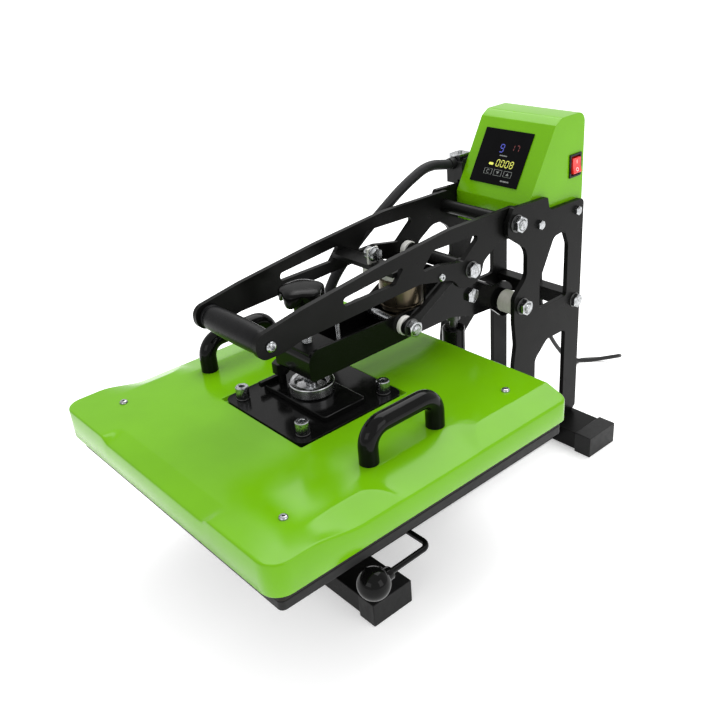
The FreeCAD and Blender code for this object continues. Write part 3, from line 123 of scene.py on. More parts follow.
def surface(name, colour, rough, tint, tint_size, metal=0.0, rough_swing=0.06, grain=0.0,
            grain_size=1.0, coat=0.0, spots=None, glow=0.0, stretch=None, specular=0.5, sheen=0.0):
    """A shader with mottled colour, uneven gloss and a fine bump; sizes are in millimetres.
    Spots are (colour, size, share of the noise below which there are none)."""
    made = bpy.data.materials.new(name)
    made.use_nodes = True
    tree = made.node_tree
    shader = tree.nodes["Principled BSDF"]
    shader.inputs["Metallic"].default_value = metal
    shader.inputs["Coat Weight"].default_value = coat
    shader.inputs["Coat Roughness"].default_value = COAT_ROUGH
    shader.inputs["Specular IOR Level"].default_value = specular
    shader.inputs["Sheen Weight"].default_value = sheen
    place = tree.nodes.new("ShaderNodeTexCoord")
    mapping = tree.nodes.new("ShaderNodeMapping")
    mapping.inputs["Scale"].default_value = stretch or (1, 1, 1)
    link(tree, place, "Object", mapping, "Vector")

    def noise(feature, detail):
        node = tree.nodes.new("ShaderNodeTexNoise")
        node.inputs["Scale"].default_value = 1000 / feature
        node.inputs["Detail"].default_value = detail
        link(tree, mapping, "Vector", node, "Vector")
        return node

    broad = noise(tint_size, 4)
    ramp = tree.nodes.new("ShaderNodeValToRGB")
    ramp.color_ramp.elements[0].position = NOISE_LOW
    ramp.color_ramp.elements[1].position = NOISE_HIGH
    ramp.color_ramp.elements[0].color = (*[c * (1 - tint) for c in colour], 1)
    ramp.color_ramp.elements[1].color = (*[min(1.0, c * (1 + tint)) for c in colour], 1)
    link(tree, broad, "Fac", ramp, "Fac")
    colour_from = (ramp, "Color")
    if spots:
        spot_colour, spot_size, cover = spots
        fine = noise(spot_size, 3)
        mask = tree.nodes.new("ShaderNodeValToRGB")
        mask.color_ramp.elements[0].position = cover
        mask.color_ramp.elements[1].position = cover + SPOT_EDGE
        link(tree, fine, "Fac", mask, "Fac")
        mix = tree.nodes.new("ShaderNodeMix")
        mix.data_type = "RGBA"
        link(tree, mask, "Color", mix, "Factor")
        tree.links.new(ramp.outputs["Color"], mix.inputs[MIX_A])
        mix.inputs[MIX_B].default_value = (*spot_colour, 1)
        colour_from = (mix, MIX_RESULT)
    tree.links.new(colour_from[0].outputs[colour_from[1]], shader.inputs["Base Color"])
    gloss = noise(tint_size / 3, 3)
    spread = tree.nodes.new("ShaderNodeMapRange")
    spread.inputs["From Min"].default_value = NOISE_LOW
    spread.inputs["From Max"].default_value = NOISE_HIGH
    spread.inputs["To Min"].default_value = max(0.02, rough - rough_swing)
    spread.inputs["To Max"].default_value = rough + rough_swing
    link(tree, gloss, "Fac", spread, "Value")
    link(tree, spread, "Result", shader, "Roughness")
    if grain:
        bumps = noise(grain_size, 2)
        bump = tree.nodes.new("ShaderNodeBump")
        bump.inputs["Strength"].default_value = 1.0
        bump.inputs["Distance"].default_value = grain / 1000
        link(tree, bumps, "Fac", bump, "Height")
        link(tree, bump, "Normal", shader, "Normal")
    if glow:
        shader.inputs["Emission Color"].default_value = (*colour, 1)
        shader.inputs["Emission Strength"].default_value = glow
    return made


GREEN = surface("green_paint", (0.134, 0.366, 0.002), 0.16, tint=0.04, tint_size=60, rough_swing=0.03,
                grain=0.002, grain_size=2.4, specular=0.2)
BLACK = surface("black_paint", (0.0036, 0.0036, 0.0034), 0.32, tint=0.25, tint_size=40, rough_swing=0.05,
                grain=0.006, grain_size=0.9, specular=0.09)
GLOSS_BLACK = surface("gloss_black_paint", (0.0032, 0.0032, 0.0032), 0.15, tint=0.2, tint_size=30,
                      rough_swing=0.04, grain=0.002, grain_size=2.0, specular=0.12)
ZINC = surface("zinc_plate", (0.40, 0.41, 0.42), 0.2, metal=1.0, tint=0.25, tint_size=3,
               rough_swing=0.08, grain=0.012, grain_size=0.7, spots=((0.16, 0.16, 0.155), 2.2, 0.56))
STEEL = surface("ground_steel", (0.42, 0.42, 0.43), 0.22, metal=1.0, tint=0.06, tint_size=8,
                rough_swing=0.06, grain=0.002, grain_size=0.3, stretch=(1, 1, 12))
ALUMINIUM = surface("cast_aluminium", (0.50, 0.50, 0.51), 0.42, metal=1.0, tint=0.10, tint_size=15,
                    rough_swing=0.1, grain=0.01, grain_size=0.8)
PLATEN_COAT = surface("platen_coating", (0.010, 0.010, 0.010), 0.5, tint=0.15, tint_size=30, grain=0.004,
                      grain_size=0.6, specular=0.2)
SILICONE = surface("silicone", (0.012, 0.010, 0.009), 0.62, tint=0.15, tint_size=25, grain=0.01,
                   grain_size=0.7, specular=0.2)
BOARD = surface("insulation", (0.74, 0.72, 0.64), 0.9, tint=0.1, tint_size=12, grain=0.08,
                grain_size=1.2, sheen=0.3)
SHEATH = surface("heater_sheath", (0.32, 0.30, 0.28), 0.45, metal=1.0, tint=0.2, tint_size=20,
                 grain=0.004, grain_size=0.5, spots=((0.20, 0.15, 0.11), 12, 0.56))
PHENOLIC = surface("black_phenolic", (0.003, 0.003, 0.003), 0.08, tint=0.2, tint_size=20,
                   rough_swing=0.02, grain=0.002, grain_size=3.0, specular=0.12)
KNOB = surface("knob_plastic", (0.0035, 0.0035, 0.0035), 0.2, tint=0.15, tint_size=14, grain=0.0015,
               grain_size=0.8, specular=0.08)
GRIP = surface("grip_rubber", (0.0045, 0.0045, 0.005), 0.32, tint=0.2, tint_size=10, grain=0.012,
               grain_size=0.9, specular=0.11)
CAP = surface("cap_plastic", (0.007, 0.007, 0.0072), 0.45, tint=0.18, tint_size=20, grain=0.02,
              grain_size=0.7, specular=0.2)
NYLON = surface("nylon", (0.42, 0.41, 0.37), 0.5, tint=0.08, tint_size=10, grain=0.006, grain_size=0.6,
                stretch=(6, 1, 1))
DARK_ZINC = surface("dark_zinc", (0.10, 0.10, 0.10), 0.4, metal=1.0, tint=0.15, tint_size=6, grain=0.004,
                    grain_size=0.6)
WHITE_NYLON = surface("white_nylon", (0.72, 0.71, 0.68), 0.5, tint=0.06, tint_size=8, grain=0.004,
                      grain_size=0.6)
GLASS = surface("display_glass", (0.0025, 0.0025, 0.003), 0.08, tint=0.2, tint_size=20, rough_swing=0.01,
                specular=0.05)
PCB = surface("board_green", (0.02, 0.14, 0.05), 0.4, tint=0.15, tint_size=6, grain=0.01, grain_size=1.5,
              spots=((0.55, 0.42, 0.15), 3, 0.66))
SWITCH_BLACK = surface("switch_black", (0.006, 0.006, 0.006), 0.22, tint=0.15, tint_size=6, grain=0.002,
                       grain_size=0.6, specular=0.2)
SWITCH_RED = surface("switch_red", (0.62, 0.012, 0.008), 0.14, tint=0.10, tint_size=8, rough_swing=0.03,
                     coat=0.4, glow=0.12)
WHITE_MARK = surface("white_mark", (0.75, 0.75, 0.72), 0.5, tint=0.04, tint_size=2)
LEAD = surface("lead_sleeve", (0.009, 0.009, 0.010), 0.5, tint=0.3, tint_size=2.2, grain=0.12,
               grain_size=1.1, specular=0.2, sheen=0.05)
CORD = surface("cord_rubber", (0.008, 0.008, 0.008), 0.42, tint=0.15, tint_size=8, grain=0.006,
               grain_size=0.8, specular=0.25)
MATTE_PLATE = surface("matte_plate", (0.46, 0.46, 0.43), 0.5, metal=0.3, tint=0.06, tint_size=6,
                      grain=0.004, grain_size=0.6)
# The noise is stretched upright, so the tint runs in soft vertical streaks of painted highlight down the
# magnet's round side, over its dark bronze colour.
BRONZE = surface("magnet_bronze", (0.13, 0.105, 0.07), 0.3, metal=1.0, tint=0.14, tint_size=16,
                 rough_swing=0.06, grain=0.002, grain_size=0.6, stretch=(1, 1, 0.12))
RESIN = surface("magnet_resin", (0.02, 0.018, 0.015), 0.35, tint=0.2, tint_size=8, grain=0.01,
                grain_size=1.5)
BRASS = surface("plug_brass", (0.65, 0.48, 0.20), 0.25, metal=1.0, tint=0.08, tint_size=4)
DIGIT_YELLOW = surface("digit_yellow", (0.60, 0.62, 0.10), 0.4, tint=0.05, tint_size=2, glow=0.45)
DIGIT_BLUE = surface("digit_blue", (0.05, 0.06, 0.36), 0.4, tint=0.08, tint_size=2, glow=0.45)
DIGIT_RED = surface("digit_red", (0.11, 0.015, 0.015), 0.4, tint=0.10, tint_size=2, glow=0.2)
KEY_WHITE = surface("key_white", (0.17, 0.18, 0.17), 0.4, tint=0.05, tint_size=2, glow=0.1)


# Mesh building, in press coordinates

WELD = 2e-6  # metres between points that become one
COPY_SHARP = 20  # degrees
COPY_BEVELLED = 28
COPY_FLAT = 0.6


class Shape:
    """Vertices and faces of one piece, each face with the number of its material."""

    def __init__(self):
        self.verts = []
        self.faces = []
        self.slots = []

    def add(self, verts, faces, slot=0):
        start = len(self.verts)
        self.verts += [Vector(v) for v in verts]
        self.faces += [[start + i for i in face] for face in faces]
        self.slots += [slot] * len(faces)


def piece(name, shape, body, materials, replaces=(), sharp=32):
    """Adds a shape as a piece; sharp is the angle above which its edges aren't smoothed."""
    mesh = bpy.data.meshes.new(name)
    mesh.from_pydata([at(v) for v in shape.verts], [], shape.faces)
    for material in materials:
        mesh.materials.append(material)
    mesh.polygons.foreach_set("material_index", shape.slots)
    finish_piece(name, mesh, body, replaces, sharp)


def finish_piece(name, mesh, body, replaces, sharp):
    """Adds a piece that rides on a body, or bends between two: (body, body, start, end)."""
    work = bmesh.new()
    work.from_mesh(mesh)
    bmesh.ops.remove_doubles(work, verts=work.verts, dist=WELD)
    bmesh.ops.recalc_face_normals(work, faces=work.faces)
    work.to_mesh(mesh)
    work.free()
    mesh.polygons.foreach_set("use_smooth", [True] * len(mesh.polygons))
    mesh.set_sharp_from_angle(angle=math.radians(sharp))
    made = bpy.data.objects.new(name, mesh)
    bpy.context.scene.collection.objects.link(made)
    if isinstance(body, str):
        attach(made, body)
    else:
        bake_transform(made, *body)
    if replaces:
        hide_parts(*replaces)


BODY_OF = {node: body for body, held in frame["record"]["behaviour"]["bodies"].items() for node in held}


def rounded_copy(node, width, material, other=None, where=None, body=None):
    """The node's own solid with its sharp edges rounded; width is in millimetres.
    Faces whose middle satisfies where(x, y, z) get the other material."""
    mesh = frame["nodes"][node].data.copy()
    mesh.materials.clear()
    mesh.materials.append(material)
    mesh.name = node + "_rounded"
    work = bmesh.new()
    work.from_mesh(mesh)
    bmesh.ops.remove_doubles(work, verts=work.verts, dist=WELD)
    if width:
        bmesh.ops.dissolve_limit(work, angle_limit=math.radians(COPY_FLAT), verts=work.verts,
                                 edges=work.edges)
        edges = [e for e in work.edges
                 if len(e.link_faces) == 2 and e.calc_face_angle(0) > math.radians(COPY_BEVELLED)]
        bmesh.ops.bevel(work, geom=edges, offset=width / 1000, segments=2, profile=0.5, affect="EDGES",
                        clamp_overlap=True)
        bmesh.ops.triangulate(work, faces=[f for f in work.faces if len(f.verts) > 4])
    if where:
        mesh.materials.append(other)
        place = frame["nodes"][node].matrix_world
        for face in work.faces:
            face.material_index = int(where(*((place @ face.calc_center_median()) * 1000 - SHIFT)))
    work.to_mesh(mesh)
    work.free()
    for name in [a.name for a in mesh.attributes if a.name == "custom_normal"]:
        mesh.attributes.remove(mesh.attributes[name])
    finish_piece(node + "_rounded", mesh, body or BODY_OF[node], (node,), COPY_SHARP)


WAYS = {"x": (Vector((0, 1, 0)), Vector((0, 0, 1)), Vector((1, 0, 0))),
        "y": (Vector((0, 0, 1)), Vector((1, 0, 0)), Vector((0, 1, 0))),
        "z": (Vector((1, 0, 0)), Vector((0, 1, 0)), Vector((0, 0, 1)))}


def ways(axis):
    """Three directions, the last along the named axis, such as '-x'."""
    a, b, c = WAYS[axis[-1]]
    return (b, a, -c) if axis[0] == "-" else (a, b, c)


def rings(shape, origin, axis, levels, steps=48, slot=0, closed=False):
    """Skins rings about an axis; each level is (radius, height), and both may be functions of the angle."""
    a, b, c = ways(axis)
    origin = Vector(origin)
    verts = []
    loops = []
    for radius, height in levels:
        if not callable(radius) and radius == 0:
            loops.append([len(verts)])
            verts.append(origin + c * (height(0) if callable(height) else height))
            continue
        loop = []
        for step in range(steps):
            angle = 2 * math.pi * step / steps
            r = radius(angle) if callable(radius) else radius
            h = height(angle) if callable(height) else height
            loop.append(len(verts))
            verts.append(origin + a * (r * math.cos(angle)) + b * (r * math.sin(angle)) + c * h)
        loops.append(loop)
    faces = []
    pairs = list(zip(loops, loops[1:]))
    if closed:
        pairs.append((loops[-1], loops[0]))
    for low, high in pairs:
        for step in range(steps):
            after = (step + 1) % steps
            if len(low) == 1:
                faces.append((low[0], high[after], high[step]))
            elif len(high) == 1:
                faces.append((low[step], low[after], high[0]))
            else:
                faces.append((low[step], low[after], high[after], high[step]))
    shape.add(verts, faces, slot)


def hexagonal(inner):
    """Radius of a hexagon whose flats lie at the inner radius."""
    return lambda angle: inner / math.cos((angle + math.pi / 6) % (math.pi / 3) - math.pi / 6)


def hex_nut(shape, origin, axis, across, height, hole):
    """A nut, or a bolt head where hole is 0, with 30 degree chamfers; its bottom is at the origin."""
    half = across / 2
    face = 0.96 * half
    edge = hexagonal(half)
    drop = lambda angle: max(0.0, edge(angle) - face) * math.tan(math.radians(30))
    top = [(hole + 0.7, height), (hole, height - 0.7)] if hole else [(0, height)]
    rings(shape, origin, axis, [
        (hole, 0), (face, 0), (edge, lambda angle: 0.5 * drop(angle)),
        (edge, lambda angle: height - drop(angle)), (face, height), *top])


def thread(shape, origin, axis, radius, length, pitch, steps=20):
    """A threaded end with a chamfered tip."""
    depth = 0.55 * pitch
    count = max(2, int(length / pitch * 4))
    levels = []
    for number in range(count + 1):
        height = length * number / count

        def groove(angle, height=height):
            phase = (height / pitch - angle / (2 * math.pi)) % 1.0
            taper = min(1.0, (length - height) / (0.8 * pitch))
            return radius - depth * (1 - abs(2 * phase - 1)) - (1 - taper) * depth
        levels.append((groove, height))
    levels.append((0, length))
    rings(shape, origin, axis, levels, steps)


def washer(shape, origin, axis, outer, inner, thick, slot, edge=0.3):
    """A ring whose bottom is at the origin; edge is the chamfer round its outside."""
    rings(shape, origin, axis, [
        (inner, 0), (outer - edge, 0), (outer, edge), (outer, thick - edge), (outer - edge, thick),
        (inner, thick)], closed=True, slot=slot)


def cap_screw(shape, origin, axis, radius, height, socket):
    """A socket head with a knurled side and a hexagonal recess."""
    knurl = lambda angle: radius - 0.16 * (1 + math.cos(30 * angle))
    hexed = hexagonal(socket / 2)
    rings(shape, origin, axis, [
        (0, 0), (radius - 0.5, 0), (knurl, 0.5), (knurl, height - 1.3), (radius - 0.1, height - 1.1),
        (radius - 0.1, height - 0.8), (radius - 0.9, height), (lambda angle: hexed(angle) + 0.3, height),
        (hexed, height - 0.4), (hexed, height * 0.45), (0, height * 0.35)], steps=120)


def button_screw(shape, origin, axis, radius, height, socket):
    """A low domed head with a hexagonal recess."""
    hexed = hexagonal(socket / 2)
    rings(shape, origin, axis, [
        (0, 0), (radius, 0), (radius, 0.25 * height), (0.94 * radius, 0.55 * height),
        (0.78 * radius, 0.85 * height), (0.6 * radius, height), (lambda angle: hexed(angle) + 0.2, height),
        (hexed, height - 0.3), (hexed, height * 0.35), (0, height * 0.3)])


def block(shape, low, high, slot):
    """A box between two corners."""
    corners = [(x, y, z) for z in (low[2], high[2]) for y in (low[1], high[1]) for x in (low[0], high[0])]
    faces = [(0, 2, 3, 1), (4, 5, 7, 6), (0, 1, 5, 4), (2, 6, 7, 3), (0, 4, 6, 2), (1, 3, 7, 5)]
    shape.add(corners, faces, slot)


# Cord, strain relief and plug

def spline(name, points, radius, body, material, replaces):
    """A round lead along a smooth curve that the points control."""
    curve = bpy.data.curves.new(name, "CURVE")
    curve.dimensions = "3D"
    curve.bevel_depth = radius / 1000
    curve.bevel_resolution = 8
    curve.use_fill_caps = True
    line = curve.splines.new("NURBS")
    line.points.add(len(points) - 1)
    for spot, point in zip(line.points, points):
        spot.co = (*at(point), 1.0)
    line.order_u = 3
    line.use_endpoint_u = True
    line.resolution_u = 12
    curve.materials.append(material)
    made = bpy.data.objects.new(name, curve)
    bpy.context.scene.collection.objects.link(made)
    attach(made, body)
    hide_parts(*replaces)
    return made


CORD_RADIUS = 3.0
CORD_EXIT = (-6, 384, 290)
LOOP_NEAR = Vector((30.4, 562.8, 30.5))
LOOP_FAR = Vector((-10.8, 584.5, 3))
LOOP_WAY = (LOOP_NEAR - Vector((-12, 484.5, 32.5))).normalized()
COIL_CENTRE = Vector((-190, 365, 0))
COIL_CROSSINGS = (40, -40, 33.4, -33.4, 26.8, -26.8, 33.4, -33.4, 40, -40)
COIL_LAYER = 6.6
COIL_CLIMB = 4  # the half turn that rises to the upper layer


def half_turn(near, far, way, steps):
    """Control points of a half circle that leaves near in the given direction and ends at far."""
    middle = (near + far) / 2
    reach = 1 / math.cos(math.pi / steps / 2)  # control points lie outside the circle
    across = near - middle
    points = []
    for step in range(steps):
        angle = math.pi * (step + 0.5) / steps
        points.append(middle + across * (reach * math.cos(angle))
                      + way * (across.length * reach * math.sin(angle)))
    return points


def coil_points():
    """Half turns between the crossings: inwards on the table, then outwards one layer higher."""
    points = []
    for number, (near, far) in enumerate(zip(COIL_CROSSINGS, COIL_CROSSINGS[1:])):
        low = CORD_RADIUS + (COIL_LAYER if number > COIL_CLIMB else 0)
        rise = COIL_LAYER if number == COIL_CLIMB else 0
        start = COIL_CENTRE + Vector((0, near, low))
        end = COIL_CENTRE + Vector((0, far, low + rise))
        points += half_turn(start, end, Vector((-math.copysign(1, near), 0, 0)), 7)
    end = COIL_CENTRE + Vector((0, COIL_CROSSINGS[-1], CORD_RADIUS + COIL_LAYER))
    return points + [end + Vector((step, 0, 0)) for step in (2, 15, 30)]


LOOP_HALF = (LOOP_NEAR - LOOP_FAR).length / 2
CORD_ROUTE = [
    CORD_EXIT, (-6, 384.5, 262), (-6.5, 399, 226), (-6, 400, 150), (-10, 432, 92), (-12, 484.5, 32.5),
    *half_turn(LOOP_NEAR - LOOP_WAY * LOOP_HALF, LOOP_FAR - LOOP_WAY * LOOP_HALF, LOOP_WAY, 4),
    (-54, 536, 3), (43, 405, 3), (-183, 405, 3)]
cord = spline("mains_cord", CORD_ROUTE + coil_points(), CORD_RADIUS, "base", CORD,
              ("power_cord", "power_cord_coil"))

GLAND = (-6, 384, 302)
relief = Shape()
levels = [(3.0, 0), (8.0, 0), (8.0, 11)]
for groove in range(5):
    level = 12 + groove * 5
    size = 7.6 - groove * 0.75
    levels += [(size, level), (size, level + 3), (size - 1.2, level + 3.4), (size - 1.2, level + 4.8)]
levels += [(3.9, 38), (3.05, 38.6)]
rings(relief, GLAND, "-z", levels, steps=40)
rings(relief, GLAND, "z", [(3.6, -2), (6, -2), (6, 8), (3.6, 8)], steps=32, closed=True)
piece("cord_relief", relief, "base", [CAP], ("cord_gland",))

PLUG_START = Vector((-160, 325, 9.6))
PLUG_FACE = 42
plug = Shape()
rings(plug, PLUG_START, "x", [
    (3.0, -0.5), (4.3, 0), (4.5, 3), (4.1, 3.3), (4.1, 4.7), (4.9, 5), (5.0, 8), (4.5, 8.3), (4.5, 9.7),
    (5.4, 10), (5.6, 13), (7.2, 17), (9.0, 20), (9.4, 22), (9.2, 27), (9.0, 31), (9.2, 36), (9.4, 40),
    (8.8, 41.6), (7.6, PLUG_FACE), (0, PLUG_FACE)], steps=40)
for across in (-6.3, 6.3):
    block(plug, PLUG_START + Vector((PLUG_FACE, across - 0.75, -4)),
          PLUG_START + Vector((PLUG_FACE + 16, across + 0.75, 2)), 1)
rings(plug, PLUG_START + Vector((PLUG_FACE, 0, 6)), "x", [(2.4, 0), (2.4, 16), (1.6, 17.6), (0, 18)],
      steps=20, slot=1)
piece("mains_plug", plug, "base", [CORD, BRASS], ("power_plug",))


# Plates, tubes and other pieces that only need their edges softened

for node, width, material in (
        ("front_crossbar", 1.5, BLACK), ("rear_crossbar", 1.5, BLACK), ("base_rails", 1.5, BLACK),
        ("crossbar_end_caps", 1.2, CAP), ("pedestal", 1.0, BLACK), ("platen_mount_plate", 1.0, BLACK),
        ("lower_platen", 0.8, PLATEN_COAT), ("silicone_pad", 1.0, SILICONE),
        ("left_upright", 0.5, BLACK), ("right_upright", 0.5, BLACK), ("rear_cross_tube", 1.0, BLACK),
        ("arm_pivot_bushes", 0.8, NYLON), ("gas_spring_bracket", 0.6, BLACK), ("control_box", 1.2, GREEN),
        ("control_box_back", 0.5, BLACK), ("display_panel", 0.5, GLASS), ("control_electronics", 0.2, PCB),
        ("rocker_switch_body", 0.5, SWITCH_BLACK),
        ("lower_arm", 0.7, GLOSS_BLACK), ("threaded_block", 0.8, BLACK),
        ("heat_platen", 1.0, ALUMINIUM), ("heating_element", 0.0, SHEATH), ("overheat_cutout", 0.4, STEEL),
        ("insulation_board", 0.5, BOARD), ("mounting_plate", 0.8, GLOSS_BLACK),
        ("swivel_plate", 0.8, GLOSS_BLACK), ("swivel_collar", 0.6, STEEL), ("guide_post", 0.6, BLACK),
        ("left_handle_arm", 0.5, BLACK), ("right_handle_arm", 0.5, BLACK),
        ("handle_pivot_tube", 0.5, BLACK), ("toggle_links", 0.5, BLACK),
        ("gas_spring_cylinder", 0.5, GLOSS_BLACK), ("gas_spring_rod", 0.4, DARK_ZINC),
        ("lock_lever", 0.0, GLOSS_BLACK)):
    rounded_copy(node, width, material)
HOSE_BEND = (at((-74, 268, 376)), at((-88, 96, 212)))
rounded_copy("heater_hose", 0.0, LEAD, body=("base", "lower_arm", *HOSE_BEND))
rounded_copy("heater_connector", 1.8, CAP, ZINC, lambda x, y, z: z > 370.8 and y > 306.5 and x < -61)


# Bolts, nuts and washers

SIDES = (-1, 1)
OUTER_FACE = 63.5  # outside of the uprights, from the middle
ARM_OUTER = 55.5  # outside of the handle plates
LINK_OUTER = 42.3  # outside of the toggle links
PIVOT_END = 74.5
PIVOT_RADIUS = 6
THREAD_RADIUS = 5.95
HANDLE_PIVOT = (265.5, 328)
ARM_PIVOT = (277, 221)
TOGGLE = (197, 292)
LINK_PIN = (113, 247)
CROSS_TUBE = (380, 194)
BOX_SCREWS = ((307, 315), (378, 313.5))
SIDE_SCREW = (150, 297.5)
SIDE_NUT = 45.5
GRIP_AXIS = (-79, 302.6)
GRIP_END = 49.5
ANCHOR = (223, 245)
STOP_STUD = (0, 44, 232)
PLATE_TOP = 193.7
COVER_TOP = 193.0
PLATE_BOLTS = [(side * 53.4, y) for side in SIDES for y in (-53.6, 57)]
COVER_SCREWS = [(side * 148.5, y) for side in SIDES for y in (-149.5, 146)]


def outward(side):
    """The axis that points away from the middle on a side."""
    return "x" if side > 0 else "-x"


def through_bolt(name, node, body, centre, face, end, spacer=None):
    """A threaded pivot bolt with a dark washer and a nut at each end, and two pale spacers if given."""
    shape = Shape()
    thick = 1.4
    rings(shape, (-face, *centre), "x", [(PIVOT_RADIUS, 0), (PIVOT_RADIUS, 2 * face)], steps=32)
    for side in SIDES:
        out = outward(side)
        washer(shape, (side * face, *centre), out, 10.4, PIVOT_RADIUS, thick, slot=1)
        hex_nut(shape, (side * (face + thick), *centre), out, 17, 7.2, PIVOT_RADIUS)
        thread(shape, (side * (face + thick), *centre), out, THREAD_RADIUS, end - face - thick, 1.5)
        if spacer:
            washer(shape, (side * spacer[0], *centre), out, 11, PIVOT_RADIUS, spacer[1] - spacer[0],
                   slot=2, edge=0.8)
    piece(name, shape, body, [ZINC, DARK_ZINC, WHITE_NYLON], (node,))


through_bolt("handle_pivot_fastening", "handle_pivot_bolt", "base", HANDLE_PIVOT, OUTER_FACE, PIVOT_END)
through_bolt("arm_pivot_fastening", "arm_pivot_bolt", "base", ARM_PIVOT, OUTER_FACE, PIVOT_END)
through_bolt("link_pin_fastening", "link_pin", "lower_arm", LINK_PIN, LINK_OUTER, 52.3, (30, 35.7))

toggle = Shape()
uprights = Shape()
grip_bar = Shape()
arm_bolts = Shape()
rings(grip_bar, (-GRIP_END, *GRIP_AXIS), "x", [(0, 0), (8, 0), (8, 2 * GRIP_END), (0, 2 * GRIP_END)],
      steps=32)
for side in SIDES:
    out = outward(side)
    rings(toggle, (side * LINK_OUTER, *TOGGLE), out, [(0, 0), (PIVOT_RADIUS, 0), (PIVOT_RADIUS, 14)],
          steps=32)
    washer(toggle, (side * LINK_OUTER, *TOGGLE), out, 11, PIVOT_RADIUS, 7.2, slot=2, edge=0.8)
    washer(toggle, (side * ARM_OUTER, *TOGGLE), out, 9.8, PIVOT_RADIUS, 1.3, slot=1)
    hex_nut(toggle, (side * (ARM_OUTER + 1.3), *TOGGLE), out, 16, 5.7, 0)
    button_screw(toggle, (side * ARM_OUTER, *SIDE_SCREW), out, 4.5, 2.5, 2.5)
    rings(toggle, (side * SIDE_NUT, *SIDE_SCREW), out, [(0, 0), (2.5, 0), (2.5, 10)], steps=20)
    hex_nut(toggle, (side * SIDE_NUT, *SIDE_SCREW), out, 8, 4, 2.5)
    rings(uprights, (side * 39.5, *CROSS_TUBE), out, [(0, 0), (4, 0), (4, 24)], steps=24)
    washer(uprights, (side * OUTER_FACE, *CROSS_TUBE), out, 9.5, 4, 1.2, slot=1)
    hex_nut(uprights, (side * (OUTER_FACE + 1.2), *CROSS_TUBE), out, 16, 5.3, 0)
    for screw in BOX_SCREWS:
        rings(uprights, (side * 51, *screw), out, [(0, 0), (3, 0), (3, 12.5)], steps=20)
        hex_nut(uprights, (side * OUTER_FACE, *screw), out, 10, 4, 0)
        washer(uprights, (side * 56, *screw), out, 7, 3.1, 1.5, slot=1)
    button_screw(grip_bar, (side * ARM_OUTER, *GRIP_AXIS), out, 5.8, 3.5, 4)
    rings(grip_bar, (side * GRIP_END, *GRIP_AXIS), out, [(4, 0), (4, 6)], steps=24)
    rings(arm_bolts, (side * 27, *ANCHOR), out, [(0, 0), (4, 0), (4, 3)], steps=24)
    hex_nut(arm_bolts, (side * 30, *ANCHOR), out, 16, 5, 0)
piece("toggle_fastening", toggle, "handle", [ZINC, DARK_ZINC, WHITE_NYLON],
      ("toggle_bolts",))
piece("upright_fastening", uprights, "base", [ZINC, DARK_ZINC], ("upright_screws",))
piece("grip_bar_and_screws", grip_bar, "handle", [ZINC], ("grip_bar",))
hex_nut(arm_bolts, STOP_STUD, "z", 8, 5, 2.5)
thread(arm_bolts, STOP_STUD, "z", 2.45, 34, 0.8)
piece("arm_fastening", arm_bolts, "lower_arm", [ZINC], ("lower_arm_bolts",))

plate_bolts = Shape()
for x, y in PLATE_BOLTS:
    rings(plate_bolts, (x, y, PLATE_TOP - 30), "z", [(0, 0), (4, 0), (4, 30)], steps=24)
    washer(plate_bolts, (x, y, PLATE_TOP), "z", 7.5, 4, 1.2, slot=1)
    cap_screw(plate_bolts, (x, y, PLATE_TOP + 1.2), "z", 7.4, 13.8, 6)
piece("mounting_cap_screws", plate_bolts, "upper_platen", [ZINC, DARK_ZINC],
      ("mounting_plate_bolts",))
cover_screws = Shape()
for x, y in COVER_SCREWS:
    rings(cover_screws, (x, y, COVER_TOP - 29), "z", [(0, 0), (3, 0), (3, 29.5)], steps=20)
    button_screw(cover_screws, (x, y, COVER_TOP), "z", 4.6, 3, 3)
piece("cover_button_screws", cover_screws, "upper_platen", [ZINC], ("cover_screws",))

SCREW_AXIS = (0, 2)
LOCK_NUT = 213.3
screw = Shape()
rings(screw, (*SCREW_AXIS, LOCK_NUT - 13), "z", [(0, 0), (PIVOT_RADIUS, 0), (PIVOT_RADIUS, 13)], steps=32)
thread(screw, (*SCREW_AXIS, LOCK_NUT), "z", THREAD_RADIUS, 106.7, 2.0, steps=32)
hex_nut(screw, (*SCREW_AXIS, LOCK_NUT), "z", 17, 7, 5.9)
piece("threaded_pressure_screw", screw, "pressure_screw", [ZINC], ("pressure_screw",))

rounded_copy("magnet_keeper", 0.4, MATTE_PLATE, ZINC, lambda x, y, z: z > 322)
rounded_copy("arm_cross_plate", 0.5, BLACK, MATTE_PLATE, lambda x, y, z: z > 321.8)


# Turned and moulded pieces

MAGNET_FOOT = (0, 140, 254)
MAGNET_TOP = 36
magnet = Shape()
rings(magnet, MAGNET_FOOT, "z", [
    (0, -22), (12, -22), (12, 0), (24, 0), (25, 1), (25, 5.5), (24.3, 6), (24.3, 7.2), (25, 7.7), (25, 34.8),
    (24, MAGNET_TOP), (22.2, MAGNET_TOP)], steps=72)
rings(magnet, MAGNET_FOOT, "z", [(22.2, MAGNET_TOP), (22, 35.6), (9.2, 35.6), (9, MAGNET_TOP)],
      steps=72, slot=1)
rings(magnet, MAGNET_FOOT, "z", [(9, MAGNET_TOP), (3.2, MAGNET_TOP), (3, 35), (3, 30), (0, 30)])
piece("holding_magnet", magnet, "lower_arm", [BRONZE, RESIN], ("electromagnet",))

KNOB_FOOT = 286.5
LOBES = 5


def lobe(angle):
    """1 at the tip of a lobe, 0 at the waist between two."""
    return (0.5 + 0.5 * math.cos(LOBES * angle)) ** 0.7


def star(reach, waist):
    """Radius of the lobed outline."""
    return lambda angle: waist + (reach - waist) * lobe(angle)


def skirt(rise):
    """Lower edge of the knob, which hangs lower at the lobes."""
    return lambda angle: 26 + rise - 6 * lobe(angle)


